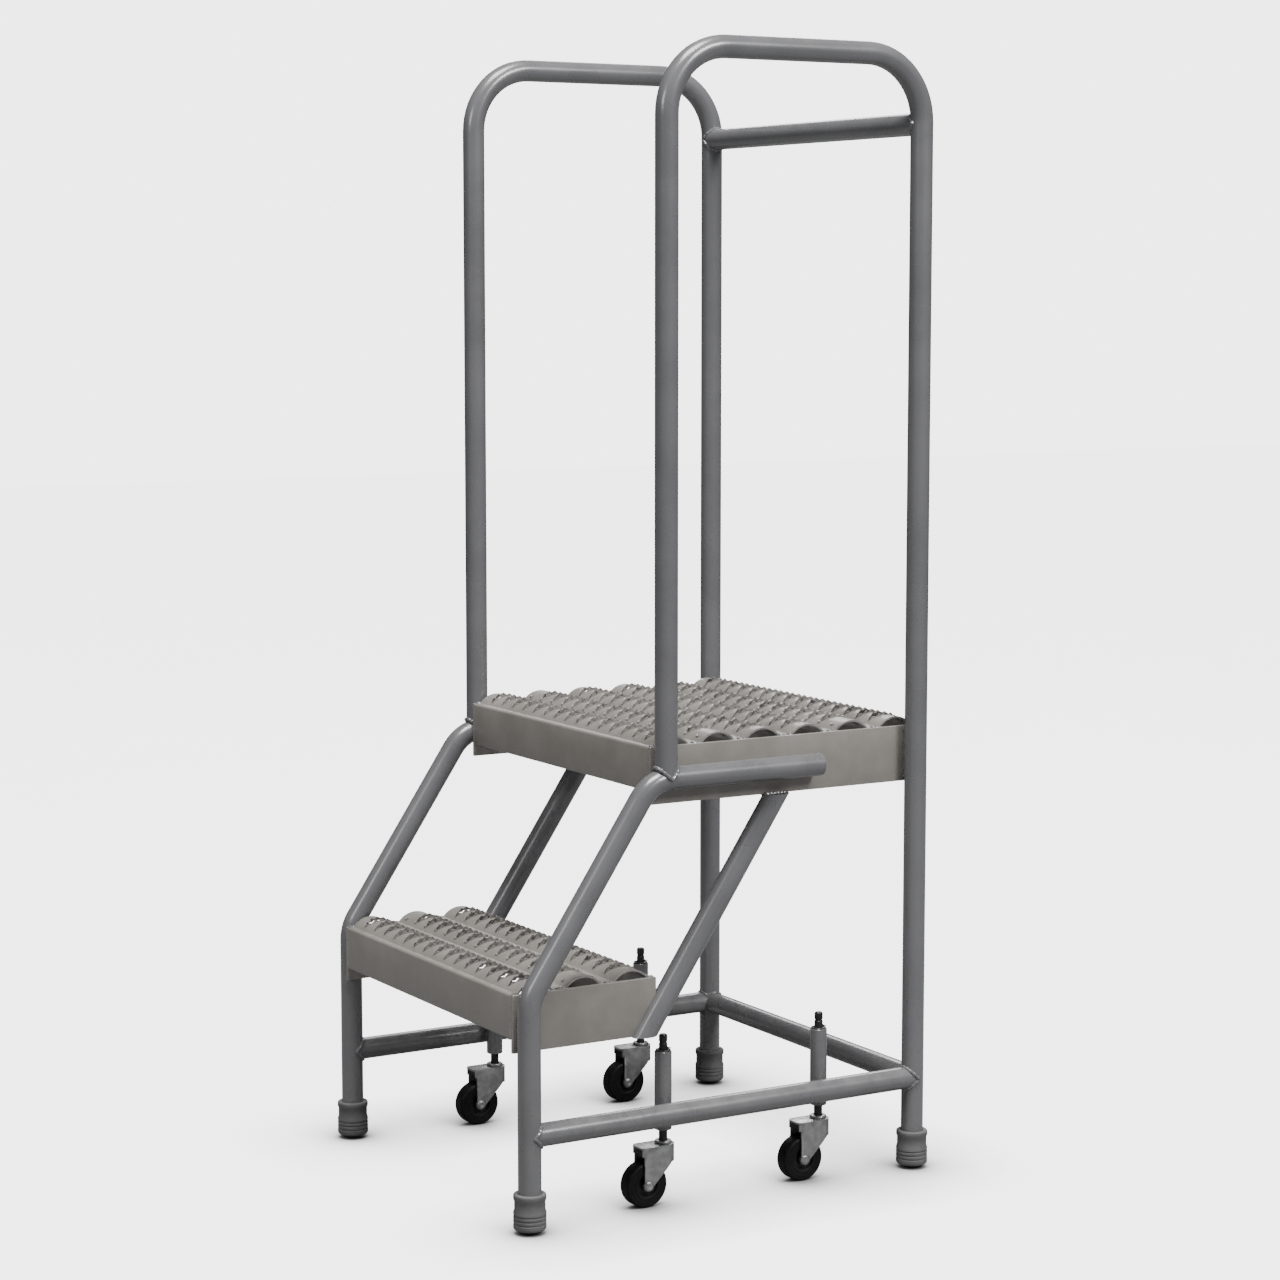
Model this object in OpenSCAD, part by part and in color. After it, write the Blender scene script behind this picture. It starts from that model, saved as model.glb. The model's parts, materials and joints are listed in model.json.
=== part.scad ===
// Two-step rolling stand with handrails: a bent tube frame, arched grip planks
// between flat side plates, rubber tips and four spring-loaded swivel casters.
// The user climbs from -Y, +X is the user's right, and Z = 0 is the floor under
// the lowered wheels, halfway between the front and rear legs.

/* [Overall] */
// Height from the tips to the top of the handrails
stand_height = 1270; // [1060:5:1600]
// Distance between the centres of the front and rear legs
leg_spread = 500; // [450:1:640]
// Clear width of the treads between the side plates
tread_width = 406.4; // [320:0.1:620]
// Height of the platform's side plates above the tips
platform_height = 508; // [440:1:620]
// Height of the lower step's side plates above the tips
step_height = 254; // [225:1:310]

/* [Tubes] */
// Outside diameter of the frame tubes
tube_od = 25.4; // [20:0.1:32]
// Wall of the frame tubes
tube_wall = 1.65; // [1.2:0.05:3]
// Centreline radius of the handrail bends
rail_bend = 73; // [45:1:85]
// Centreline radius of the stringer bends
stringer_bend = 48; // [35:1:60]
// Height of the base rails' centres above the tips
base_height = 101.6; // [85:0.1:125]
// Drop from the top of the handrails to the centre of the upper crossbar
top_bar_drop = 87.6; // [70:0.1:160]
// Drop from the top of the step's side plates to the stringer's lower bend
lower_bend_drop = 4.5; // [0:0.5:20]
// Distance from the stringer's upper bend back to the handrail post
upper_bend_lead = 18.5; // [10:0.5:40]
// Length of the stringer's top run behind the handrail post
run_past_post = 200; // [60:1:260]
// Height of the top run's centre above the bottom of the platform's side plates
run_rise = 30; // [20:0.5:40]
// Height above the step plate's lower edge where the brace's centreline leaves its rear edge
brace_seat = 23.6; // [15:0.1:40]

/* [Treads] */
// Depth of one plank, front to back
plank_depth = 177.8; // [145:0.1:215]
// Depth of the planks' flanges
flange_depth = 50.8; // [35:0.1:60]
// Width of the lips turned in under the flanges
flange_lip = 12.7; // [6:0.1:20]
// Thickness of the plank's sheet
sheet = 2; // [1.5:0.1:3]
// Number of arched ribs on one plank
ribs = 3; // [2:1:4]
// Width of a rib at its foot
rib_width = 44; // [30:0.5:48]
// Rise of a rib above the flat of the plank
rib_rise = 12.7; // [6:0.1:16]
// Distance between openings along a rib
opening_pitch = 25.4; // [22:0.1:36]
// Length of a diamond opening, across the rib
opening_length = 40; // [24:0.5:42]
// Width of a diamond opening, along the rib
opening_width = 15; // [8:0.5:17.5]
// Height of the side plates
plate_height = 63.5; // [55:0.1:80]
// Thickness of the side plates
plate_thickness = 4.76; // [3:0.01:8]

/* [Tips] */
// Outside diameter of the rubber tips
tip_od = 36; // [34:0.5:46]
// Height of the rubber tips
tip_height = 40; // [25:1:55]
// Thickness of rubber under the tube
tip_sole = 8; // [4:0.5:12]
// Radius on the tip's edges
tip_round = 4; // [1:0.5:5]

/* [Casters] */
// How far the lowered wheels hold the tips off the floor
caster_drop = 4; // [2:0.5:8]
// Diameter of the wheels
wheel_d = 50.8; // [42:0.1:56]
// Width of the tread of the wheels
wheel_width = 19; // [14:0.5:24]
// Diameter of the wheels' hubs
hub_d = 24; // [16:0.5:30]
// Distance from the swivel axis to the wheel's axle
trail = 25; // [18:0.5:30]
// Height of the fork's crown above the floor
crown_height = 68.5; // [66:0.5:74]
// Thickness of the fork's sheet
fork_sheet = 2; // [1.5:0.1:3]
// Diameter of the stem
stem_d = 9.5; // [7:0.1:10.5]
// Height of the stem's top end above the floor
stem_top = 191; // [185:1:210]
// Diameter of the axle
axle_d = 6; // [5:0.1:8]
// Outside diameter of the spring sleeves
sleeve_od = 19.05; // [18:0.05:24]
// Wall of the spring sleeves
sleeve_wall = 1.65; // [1.2:0.05:2]
// Length of the spring sleeves
sleeve_length = 88; // [75:1:110]
// Length of sleeve below the centre of the base rail
sleeve_below = 21.6; // [14:0.1:22]
// Distance from the front leg to the front casters' stems
front_caster_set = 179.5; // [175:0.5:195]
// Distance from the rear leg to the rear casters' stems
rear_caster_set = 115; // [90:0.5:160]
// Diameter of the spring's wire
spring_wire = 1.8; // [1:0.1:2]
// Number of turns in the spring
spring_turns = 9; // [5:1:12]

/* [Fits] */
// Clearance all round a turning or sliding shaft
shaft_gap = 0.08; // [0.02:0.01:0.1]
// Clearance between the faces of pieces that move on each other
face_gap = 0.3; // [0.2:0.05:0.5]

/* [Hidden] */
$fn = 64;
tube_r = tube_od / 2;
bore_r = tube_r - tube_wall;
// Coped tubes stop short of the crossing tube's axis, so that their ears aren't feather edges.
cope_set = 0.35 * tube_r;
// Extra radius of a tube in its bends, and how far the straights lap into them.
bend_swell = 0.05;
seam_lap = 1;
// Cutting shapes run past what they cut by this much.
slack = 1;

front_y = -leg_spread / 2;
rear_y = leg_spread / 2;
inner_x = tread_width / 2;
outer_x = inner_x + plate_thickness;
leg_x = outer_x + tube_r;

platform_z = caster_drop + platform_height;
step_z = caster_drop + step_height;
base_z = caster_drop + base_height;
rail_top_z = caster_drop + stand_height - tube_r;
top_bar_z = caster_drop + stand_height - top_bar_drop;
tube_end_z = caster_drop + tip_sole;

platform_planks = 2;
platform_back = rear_y + tube_r;
platform_front = platform_back - platform_planks * plank_depth;
post_y = platform_front + tube_r;
step_front = front_y - tube_r;
step_back = step_front + plank_depth;

// The stringer's path in the YZ plane: up the front leg, back up the slope, then level.
lower_bend = [front_y, step_z - lower_bend_drop];
run_z = platform_z - plate_height + run_rise;
upper_bend = [post_y - upper_bend_lead, run_z];
stringer_path = [[front_y, tube_end_z], lower_bend, upper_bend, [post_y + run_past_post, run_z]];

// The handrail's path: up the post, back along the top, then down the rear leg.
handrail_path = [[post_y, run_z + cope_set], [post_y, rail_top_z], [rear_y, rail_top_z],
                 [rear_y, tube_end_z]];

// The brace runs parallel to the slope, from the step's side plate up to the platform's.
slope = (upper_bend - lower_bend) / (upper_bend.y - lower_bend.y);
brace_low_z = step_z - plate_height;
brace_high_z = platform_z - plate_height;
brace_x = outer_x;

rib_pitch = plank_depth / ribs;
rib_outer_r = (pow(rib_width / 2, 2) + pow(rib_rise, 2)) / (2 * rib_rise);
rib_inner_r = rib_outer_r - sheet;
// Openings keep clear of the side plates by this much.
opening_margin = 8;

sleeve_r = sleeve_od / 2;
sleeve_bore_r = sleeve_r - sleeve_wall;
sleeve_x = outer_x - sleeve_r;
sleeve_low_z = base_z - sleeve_below;
sleeve_high_z = sleeve_low_z + sleeve_length;
guide_height = 6;
collar_height = 3;
collar_z = sleeve_low_z + guide_height + face_gap;
spring_low_z = collar_z + collar_height;
spring_high_z = sleeve_high_z - guide_height;
spring_mean_r = (stem_d / 2 + sleeve_bore_r) / 2;
spring_end_gap = 0.1;

stem_r = stem_d / 2;
race_r = 9.5;
race_height = 3;
rivet_r = 7.5;
rivet_height = 3;
washer_height = 1.2;
cotter_r = 1.2;
cotter_reach = 9;
cotter_z = sleeve_high_z + face_gap + washer_height + cotter_r;

wheel_r = wheel_d / 2;
axle_r = axle_d / 2;
hub_r = hub_d / 2;
hub_width = wheel_width + 1;
fork_inner = hub_width / 2 + face_gap;
fork_outer = fork_inner + fork_sheet;
fork_front = -trail - 9;
fork_foot_r = 5;
fork_skirt_z = 49;
rivet_head_r = 5.5;
rivet_head_height = 2;
bead_r = 7;
bead_hole_r = 2;

// Each corner: name, side, stem position along Y.
CORNERS = [["front_right", 1, front_y + front_caster_set],
           ["front_left", -1, front_y + front_caster_set],
           ["rear_right", 1, rear_y - rear_caster_set],
           ["rear_left", -1, rear_y - rear_caster_set]];
SIDES = [["right", 1], ["left", -1]];
LEGS = [["front_right", 1, front_y], ["front_left", -1, front_y],
        ["rear_right", 1, rear_y], ["rear_left", -1, rear_y]];
SIDE_PARTS = ["stringer", "handrail", "base_rail", "brace", "step_side_plate",
              "platform_side_plate"];
CASTER_PARTS = ["sleeve", "stem", "clip", "spring", "race", "fork", "axle", "hub", "tyre"];

tube_colour = "#7d7e82";
tread_colour = "#85817b";
rubber_colour = "#77777b";
zinc_colour = "#a9aaac";
wheel_colour = "#1c1c1e";
steel_colour = "#3a3a3c";

// ---- Helpers ----

function unit(v) = v / norm(v);
function heading(v) = atan2(v.y, v.x);
function turn(a, b) = atan2(a.x * b.y - a.y * b.x, a * b);

// A round bar along a path of [y, z] points in the YZ plane, with bends at its corners.
// The straights run a little way inside the bends, which are fuller by a hair.
module bent_bar(path, bend, r) {
    last = len(path) - 1;
    ways = [for (i = [0:last - 1]) unit(path[i + 1] - path[i])];
    turns = [for (i = [1:last - 1]) turn(ways[i - 1], ways[i])];
    cuts = [0, for (t = turns) bend * tan(abs(t) / 2), 0];
    rotate([90, 0, 90]) {
        for (i = [0:last - 1]) {
            start = path[i] + ways[i] * (cuts[i] - (i > 0 ? seam_lap : 0));
            stop = path[i + 1] - ways[i] * (cuts[i + 1] - (i < last - 1 ? seam_lap : 0));
            translate([start.x, start.y, 0]) rotate(heading(ways[i])) rotate([0, 90, 0])
                cylinder(r = r, h = norm(stop - start));
        }
        for (i = [1:last - 1]) {
            side = sign(turns[i - 1]);
            enter = path[i] - ways[i - 1] * cuts[i];
            leave = path[i] + ways[i] * cuts[i];
            centre = enter + side * bend * [-ways[i - 1].y, ways[i - 1].x];
            translate([centre.x, centre.y, 0]) rotate(heading((side > 0 ? enter : leave) - centre))
                rotate_extrude(angle = abs(turns[i - 1])) translate([bend, 0]) circle(r + bend_swell);
        }
    }
}

// The same bar as a tube, with its bore run on past both ends
module bent_tube(path, bend) {
    last = len(path) - 1;
    bore_path = [for (i = [0:last])
        i == 0 ? path[0] - slack * unit(path[1] - path[0]) :
        i == last ? path[last] + slack * unit(path[last] - path[last - 1]) : path[i]];
    difference() {
        bent_bar(path, bend, tube_r);
        bent_bar(bore_path, bend, bore_r);
    }
}

module straight_tube(length, r, bore) {
    difference() {
        cylinder(r = r, h = length);
        translate([0, 0, -slack]) cylinder(r = bore, h = length + 2 * slack);
    }
}

module stringer_bar(side) { translate([side * leg_x, 0, 0]) bent_bar(stringer_path, stringer_bend, tube_r); }
module handrail_bar(side) { translate([side * leg_x, 0, 0]) bent_bar(handrail_path, rail_bend, tube_r); }
module base_rail_bar(side) {
    translate([side * leg_x, front_y, base_z]) rotate([-90, 0, 0]) cylinder(r = tube_r, h = leg_spread);
}

// ---- Frame tubes ----

// Front leg, slope and top run in one bent tube
module stringer(side) {
    color(tube_colour) translate([side * leg_x, 0, 0]) bent_tube(stringer_path, stringer_bend);
}

// Post, grab rail and rear leg in one bent tube, coped onto the stringer's top run
module handrail(side) {
    color(tube_colour) difference() {
        translate([side * leg_x, 0, 0]) bent_tube(handrail_path, rail_bend);
        stringer_bar(side);
    }
}

module base_rail(side) {
    color(tube_colour) difference() {
        translate([side * leg_x, front_y + cope_set, base_z]) rotate([-90, 0, 0])
            straight_tube(leg_spread - 2 * cope_set, tube_r, bore_r);
        stringer_bar(side);
        handrail_bar(side);
    }
}

module crossbar(z) {
    difference() {
        translate([-leg_x + cope_set, rear_y, z]) rotate([0, 90, 0])
            straight_tube(2 * (leg_x - cope_set), tube_r, bore_r);
        for (s = SIDES) {
            handrail_bar(s[1]);
            base_rail_bar(s[1]);
        }
    }
}

// Sloping brace: its foot is notched round the step's rear corner and its head
// is cut level under the platform's side plate.
module brace(side) {
    low = [step_back, brace_low_z + brace_seat];
    reach = platform_height;
    start = low - slope * reach;
    color(tube_colour) difference() {
        intersection() {
            translate([side * brace_x, 0, 0]) rotate([90, 0, 90]) translate([start.x, start.y, 0])
                rotate(heading(slope)) rotate([0, 90, 0])
                    straight_tube(2.5 * reach, tube_r, bore_r);
            translate([side * brace_x - tube_od, -leg_spread, brace_low_z])
                cube([2 * tube_od, 2 * leg_spread, brace_high_z - brace_low_z]);
        }
        translate([side > 0 ? brace_x - 2 * tube_od : -brace_x, step_front, brace_low_z - slack])
            cube([2 * tube_od, plank_depth, plate_height + tube_od]);
    }
}

// ---- Treads ----

module side_plate(side, front, depth, top) {
    color(tread_colour)
        translate([side > 0 ? inner_x : -outer_x, front, top - plate_height])
            cube([plate_thickness, depth, plate_height]);
}

// Section across a plank: flanges with turned-in lips, and arched ribs between flats
module plank_section() {
    difference() {
        union() {
            translate([0, -sheet]) square([plank_depth, sheet]);
            for (x = [0, plank_depth - sheet]) translate([x, -flange_depth]) square([sheet, flange_depth]);
            for (x = [0, plank_depth - flange_lip])
                translate([x, -flange_depth]) square([flange_lip, sheet]);
            intersection() {
                for (i = [0:ribs - 1]) rib_disc(i, rib_outer_r);
                translate([0, -sheet]) square([plank_depth, rib_rise + 2 * sheet]);
            }
        }
        for (i = [0:ribs - 1]) rib_disc(i, rib_inner_r);
    }
}

module rib_disc(i, r) { translate([(i + 0.5) * rib_pitch, rib_rise - rib_outer_r]) circle(r); }

// Diamond openings along the ribs, each rib half a pitch out of step with the next
module diamond_openings() {
    for (i = [0:ribs - 1]) {
        count = floor((tread_width - 2 * opening_margin - opening_width) / opening_pitch) + 1 - i % 2;
        for (k = [0:count - 1])
            translate([(k - (count - 1) / 2) * opening_pitch, (i + 0.5) * rib_pitch, -sheet - slack])
                linear_extrude(rib_rise + sheet + 2 * slack)
                    polygon([[-opening_width / 2, 0], [0, -opening_length / 2],
                             [opening_width / 2, 0], [0, opening_length / 2]]);
    }
}

module plank(front, top) {
    color(tread_colour) translate([0, front, top]) difference() {
        translate([-inner_x, 0, 0]) rotate([90, 0, 90]) linear_extrude(tread_width) plank_section();
        diamond_openings();
    }
}

// ---- Tips ----

module rubber_tip(leg) {
    r = tip_od / 2;
    color(rubber_colour) translate([leg[1] * leg_x, leg[2], caster_drop]) rotate_extrude() difference() {
        union() {
            square([r - tip_round, tip_height]);
            translate([0, tip_round]) square([r, tip_height - 2 * tip_round]);
            for (z = [tip_round, tip_height - tip_round]) translate([r - tip_round, z]) circle(tip_round);
        }
        translate([0, tip_sole]) square([tube_r, tip_height]);
    }
}

// ---- Casters ----

module caster_sleeve(c) {
    color(tube_colour) translate([c[1] * sleeve_x, c[2], sleeve_low_z])
        straight_tube(sleeve_length, sleeve_r, sleeve_bore_r);
}

// A bush at each end of every sleeve guides the stem; the upper one is the spring's seat.
module sleeve_guides() {
    color(zinc_colour) for (c = CORNERS)
        for (z = [sleeve_low_z, sleeve_high_z - guide_height])
            translate([c[1] * sleeve_x, c[2], z])
                straight_tube(guide_height, sleeve_bore_r, stem_r + shaft_gap);
}

// Weld bead round the line where a sleeve meets its base rail
module sleeve_welds() {
    color(tube_colour) for (c = CORNERS) difference() {
        translate([c[1] * outer_x, c[2], base_z]) sphere(bead_r);
        translate([c[1] * sleeve_x, c[2], base_z - 2 * bead_r]) cylinder(r = sleeve_r, h = 4 * bead_r);
        base_rail_bar(c[1]);
        translate([c[1] * outer_x - bead_r, c[2], base_z]) rotate([0, 90, 0])
            cylinder(r = bead_hole_r, h = 2 * bead_r);
    }
}

// Stem with the collar that the spring pushes on, and a riveted foot under the crown
module caster_stem(c) {
    foot_z = crown_height - fork_sheet - face_gap - rivet_height;
    nose = 1.5;
    color(steel_colour) translate([c[1] * sleeve_x, c[2], 0]) difference() {
        union() {
            translate([0, 0, foot_z]) cylinder(r = stem_r, h = stem_top - nose - foot_z);
            translate([0, 0, stem_top - nose]) cylinder(r1 = stem_r, r2 = stem_r - nose, h = nose);
            translate([0, 0, foot_z]) cylinder(r = rivet_r, h = rivet_height);
            translate([0, 0, collar_z]) cylinder(r = sleeve_bore_r - face_gap, h = collar_height);
        }
        translate([0, -cotter_reach, cotter_z]) rotate([-90, 0, 0]) cylinder(r = cotter_r, h = 2 * cotter_reach);
    }
}

// Washer and cotter pin that stop the stem dropping through the sleeve
module caster_clip(c) {
    color(steel_colour) translate([c[1] * sleeve_x, c[2], 0]) {
        translate([0, 0, sleeve_high_z + face_gap]) difference() {
            cylinder(r = sleeve_r - 1, h = washer_height);
            translate([0, 0, -slack]) cylinder(r = stem_r, h = washer_height + 2 * slack);
        }
        translate([0, -cotter_reach, cotter_z]) rotate([-90, 0, 0]) cylinder(r = cotter_r, h = 2 * cotter_reach);
    }
}

// Compression spring round the stem, between the collar and the upper guide
module caster_spring(c) {
    wire_r = spring_wire / 2;
    sides = 6;
    steps = 14;
    low = spring_low_z + wire_r + spring_end_gap;
    high = spring_high_z - wire_r;
    last = spring_turns * steps;
    points = [for (i = [0:last]) let (a = 360 * i / steps, z = low + (high - low) * i / last)
        for (j = [0:sides - 1]) let (b = 360 * j / sides, r = spring_mean_r + wire_r * cos(b))
            [r * cos(a), r * sin(a), z + wire_r * sin(b)]];
    walls = [for (i = [0:last - 1]) for (j = [0:sides - 1])
        let (p = i * sides + j, q = i * sides + (j + 1) % sides) [p, p + sides, q + sides, q]];
    ends = [[for (j = [0:sides - 1]) j], [for (j = [sides - 1:-1:0]) last * sides + j]];
    color(steel_colour) translate([c[1] * sleeve_x, c[2], 0])
        polyhedron(points = points, faces = concat(walls, ends));
}

// Bearing ring that rides on the fork's crown
module caster_race(c) {
    color(zinc_colour) translate([c[1] * sleeve_x, c[2], crown_height + face_gap])
        rotate_extrude() difference() {
            union() {
                square([race_r, race_height - 1]);
                square([race_r - 1, race_height]);
            }
            square([stem_r, race_height]);
        }
}

// Side view of the fork in [y, z], measured from the swivel axis
module fork_outline() {
    hull() {
        translate([-trail, wheel_r]) circle(fork_foot_r);
        translate([-trail - fork_foot_r, crown_height - 2 * fork_foot_r]) square([trail, fork_foot_r]);
        translate([0, fork_skirt_z]) square([fork_foot_r, fork_foot_r]);
    }
    translate([fork_front, crown_height - 2 * fork_foot_r])
        square([fork_outer - fork_front, 2 * fork_foot_r]);
    translate([-trail, fork_skirt_z]) square([trail + fork_outer, crown_height - fork_skirt_z]);
}

// Plan of the fork: two straight cheeks joined by a round back
module fork_plan(r) {
    circle(r);
    translate([-r, fork_front - slack]) square([2 * r, -fork_front + slack]);
}

module caster_fork(c) {
    nose_r = 6;
    color(zinc_colour) translate([c[1] * sleeve_x, c[2], 0]) difference() {
        intersection() {
            difference() {
                linear_extrude(crown_height) fork_plan(fork_outer);
                translate([0, 0, -slack]) linear_extrude(crown_height - fork_sheet + slack)
                    fork_plan(fork_inner);
            }
            translate([-2 * fork_outer, 0, 0]) rotate([90, 0, 90])
                linear_extrude(4 * fork_outer) fork_outline();
        }
        translate([0, 0, crown_height - 2 * fork_sheet]) cylinder(r = stem_r + shaft_gap, h = 3 * fork_sheet);
        translate([-2 * fork_outer, -trail, wheel_r]) rotate([0, 90, 0])
            cylinder(r = axle_r, h = 4 * fork_outer);
        for (s = [-1, 1]) translate([s * fork_outer, fork_front, 0]) nose_corner(s, nose_r);
    }
}

// Waste removed to round one front corner of the crown in plan
module nose_corner(side, r) {
    translate([-side * r, r, 0]) difference() {
        translate([side > 0 ? 0 : -2 * r, -2 * r, fork_skirt_z]) cube([2 * r, 2 * r, crown_height]);
        cylinder(r = r, h = 3 * crown_height);
    }
}

// Riveted axle through the fork's cheeks
module caster_axle(c) {
    color(zinc_colour) translate([c[1] * sleeve_x, c[2] - trail, wheel_r]) rotate([0, 90, 0]) {
        cylinder(r = axle_r, h = 2 * fork_outer, center = true);
        for (s = [-1, 1]) translate([0, 0, s * (fork_outer + rivet_head_height / 2)])
            cylinder(r = rivet_head_r, h = rivet_head_height, center = true);
    }
}

module caster_hub(c) {
    boss_r = hub_r / 2 + 1;
    color(wheel_colour) translate([c[1] * sleeve_x, c[2] - trail, wheel_r]) rotate([0, 90, 0])
        difference() {
            union() {
                cylinder(r = hub_r, h = wheel_width - 5, center = true);
                cylinder(r = boss_r, h = hub_width, center = true);
            }
            cylinder(r = axle_r + shaft_gap, h = hub_width + 2 * slack, center = true);
        }
}

module caster_tyre(c) {
    edge = 3;
    half = wheel_width / 2;
    color(wheel_colour) translate([c[1] * sleeve_x, c[2] - trail, wheel_r]) rotate([0, 90, 0])
        rotate_extrude() difference() {
            union() {
                translate([hub_r, -half]) square([wheel_r - edge - hub_r, wheel_width]);
                translate([hub_r, -half + edge]) square([wheel_r - hub_r, wheel_width - 2 * edge]);
                for (s = [-1, 1]) translate([wheel_r - edge, s * (half - edge)]) circle(edge);
            }
            for (s = [-1, 1]) translate([hub_r - 1, s * half - (s > 0 ? 1.5 : 0)])
                square([5, 1.5]);
        }
}

// ---- Assembly ----

for (s = SIDES) {
    stringer(s[1]);
    handrail(s[1]);
    base_rail(s[1]);
    brace(s[1]);
    side_plate(s[1], step_front, plank_depth, step_z);
    side_plate(s[1], platform_front, platform_planks * plank_depth, platform_z);
}
color(tube_colour) crossbar(base_z);  // base_crossbar
color(tube_colour) crossbar(top_bar_z);  // upper_crossbar
plank(step_front, step_z);  // step_plank
plank(platform_front, platform_z);  // platform_front_plank
plank(platform_front + plank_depth, platform_z);  // platform_rear_plank
sleeve_guides();
sleeve_welds();
for (l = LEGS)
    rubber_tip(l);
for (c = CORNERS) {
    caster_sleeve(c);
    caster_stem(c);
    caster_clip(c);
    caster_spring(c);
    caster_race(c);
    caster_fork(c);
    caster_axle(c);
    caster_hub(c);
    caster_tyre(c);
}
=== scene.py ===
import json
import math
import bpy
from mathutils import Matrix, Vector


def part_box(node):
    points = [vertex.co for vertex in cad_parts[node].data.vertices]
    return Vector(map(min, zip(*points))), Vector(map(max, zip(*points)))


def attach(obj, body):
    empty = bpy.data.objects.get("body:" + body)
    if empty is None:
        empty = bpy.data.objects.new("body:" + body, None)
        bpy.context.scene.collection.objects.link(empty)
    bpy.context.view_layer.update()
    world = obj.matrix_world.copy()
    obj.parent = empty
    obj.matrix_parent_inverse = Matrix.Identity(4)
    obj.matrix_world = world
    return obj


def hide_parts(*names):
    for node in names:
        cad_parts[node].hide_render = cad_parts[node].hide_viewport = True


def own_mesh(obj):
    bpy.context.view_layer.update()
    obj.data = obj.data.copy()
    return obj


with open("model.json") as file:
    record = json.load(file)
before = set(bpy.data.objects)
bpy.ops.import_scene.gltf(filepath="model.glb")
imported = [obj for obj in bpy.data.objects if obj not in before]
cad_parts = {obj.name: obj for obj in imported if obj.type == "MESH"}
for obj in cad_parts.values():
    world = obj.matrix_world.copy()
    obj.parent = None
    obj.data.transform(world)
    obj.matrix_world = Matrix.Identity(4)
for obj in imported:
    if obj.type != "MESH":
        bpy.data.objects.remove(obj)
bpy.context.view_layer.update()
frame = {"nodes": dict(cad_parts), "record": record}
print("frame loaded:", len(frame["nodes"]), "nodes")

sides = {"right": 1, "left": -1}
corners = {"front_right": 1, "front_left": -1, "rear_right": 1, "rear_left": -1}


view = {
    "eye": (3.0631, -1.7901, 1.008),
    "turn": 59.46,          # degrees round from straight behind the user
    "tilt": 6.512,          # degrees below level
    "lens": 87.28,
    "sensor": 36,
    "clipEnd": 50,
}


def setCamera():
    bpy.ops.object.camera_add(
        location=view["eye"],
        rotation=(math.radians(90 - view["tilt"]), 0, math.radians(view["turn"])))
    camera = bpy.context.object
    camera.data.lens = view["lens"]
    camera.data.sensor_width = view["sensor"]
    camera.data.clip_end = view["clipEnd"]
    bpy.context.scene.camera = camera


studio = {
    "key": {"place": (3.2, 1.2, 3.0), "size": 1.1, "power": 134},
    "fill": {"place": (1.0, -3.4, 2.4), "size": 1.0, "power": 33},
    "top": {"place": (1.2, -0.6, 6.0), "size": 2.4, "power": 540},
    "rear": {"place": (-3.0, 2.2, 2.6), "size": 1.8, "power": 60},
    "aim": (0, 0, 0.55),
    "sky": 0.11,            # what the object sees round it
    "skyColour": (0.93, 0.96, 1, 1),
    "backdrop": 4.2,
    "shadeReach": 0.16,     # how far from a foot its shade spreads on the floor
    "shadeDepth": 4.0,
    "floorGlow": 4.5,       # seen by the camera only, so that it lights nothing
}


def setLights():
    for name in ("key", "fill", "top", "rear"):
        lamp = studio[name]
        place = Vector(lamp["place"])
        aim = (Vector(studio["aim"]) - place).to_track_quat("-Z", "Y").to_euler()
        bpy.ops.object.light_add(type="AREA", location=place, rotation=aim)
        light = bpy.context.object.data
        light.name = name + "Light"
        light.size = lamp["size"]
        light.energy = lamp["power"]
    world = bpy.data.worlds.new("studioSky")
    bpy.context.scene.world = world
    world.use_nodes = True
    nodes, links = world.node_tree.nodes, world.node_tree.links
    nodes.clear()
    out = nodes.new("ShaderNodeOutputWorld")
    mix = nodes.new("ShaderNodeMixShader")
    sky = nodes.new("ShaderNodeBackground")
    backdrop = nodes.new("ShaderNodeBackground")
    path = nodes.new("ShaderNodeLightPath")
    sky.inputs["Strength"].default_value = studio["sky"]
    sky.inputs["Color"].default_value = studio["skyColour"]
    backdrop.inputs["Strength"].default_value = studio["backdrop"]
    backdrop.inputs["Color"].default_value = (1, 1, 1, 1)
    links.new(path.outputs["Is Camera Ray"], mix.inputs["Fac"])
    links.new(sky.outputs[0], mix.inputs[1])
    links.new(backdrop.outputs[0], mix.inputs[2])
    links.new(mix.outputs[0], out.inputs["Surface"])


def newGroup(name, inputs, outputs):
    group = bpy.data.node_groups.new(name, "ShaderNodeTree")
    for socket, value in inputs.items():
        made = group.interface.new_socket(name=socket, in_out="INPUT", socket_type="NodeSocketFloat")
        made.default_value = value
    for socket in outputs:
        group.interface.new_socket(name=socket, in_out="OUTPUT", socket_type="NodeSocketFloat")
    return group, group.nodes.new("NodeGroupInput"), group.nodes.new("NodeGroupOutput")


def addMath(tree, operation, first, second, clamp=False):
    node = tree.nodes.new("ShaderNodeMath")
    node.operation = operation
    node.use_clamp = clamp
    for socket, value in zip(node.inputs, (first, second)):
        if isinstance(value, (int, float)):
            socket.default_value = value
        else:
            tree.links.new(value, socket)
    return node.outputs[0]


def addRange(tree, value, low, high):
    node = tree.nodes.new("ShaderNodeMapRange")
    node.interpolation_type = "SMOOTHSTEP"
    tree.links.new(value, node.inputs["Value"])
    for name, edge in (("From Min", low), ("From Max", high)):
        if isinstance(edge, (int, float)):
            node.inputs[name].default_value = edge
        else:
            tree.links.new(edge, node.inputs[name])
    return node.outputs["Result"]


def addNoise(tree, vector, scale, detail=4.0, rough=0.55):
    node = tree.nodes.new("ShaderNodeTexNoise")
    node.inputs["Detail"].default_value = detail
    node.inputs["Roughness"].default_value = rough
    if isinstance(scale, (int, float)):
        node.inputs["Scale"].default_value = scale
    else:
        tree.links.new(scale, node.inputs["Scale"])
    tree.links.new(vector, node.inputs["Vector"])
    return node.outputs["Fac"]


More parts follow.
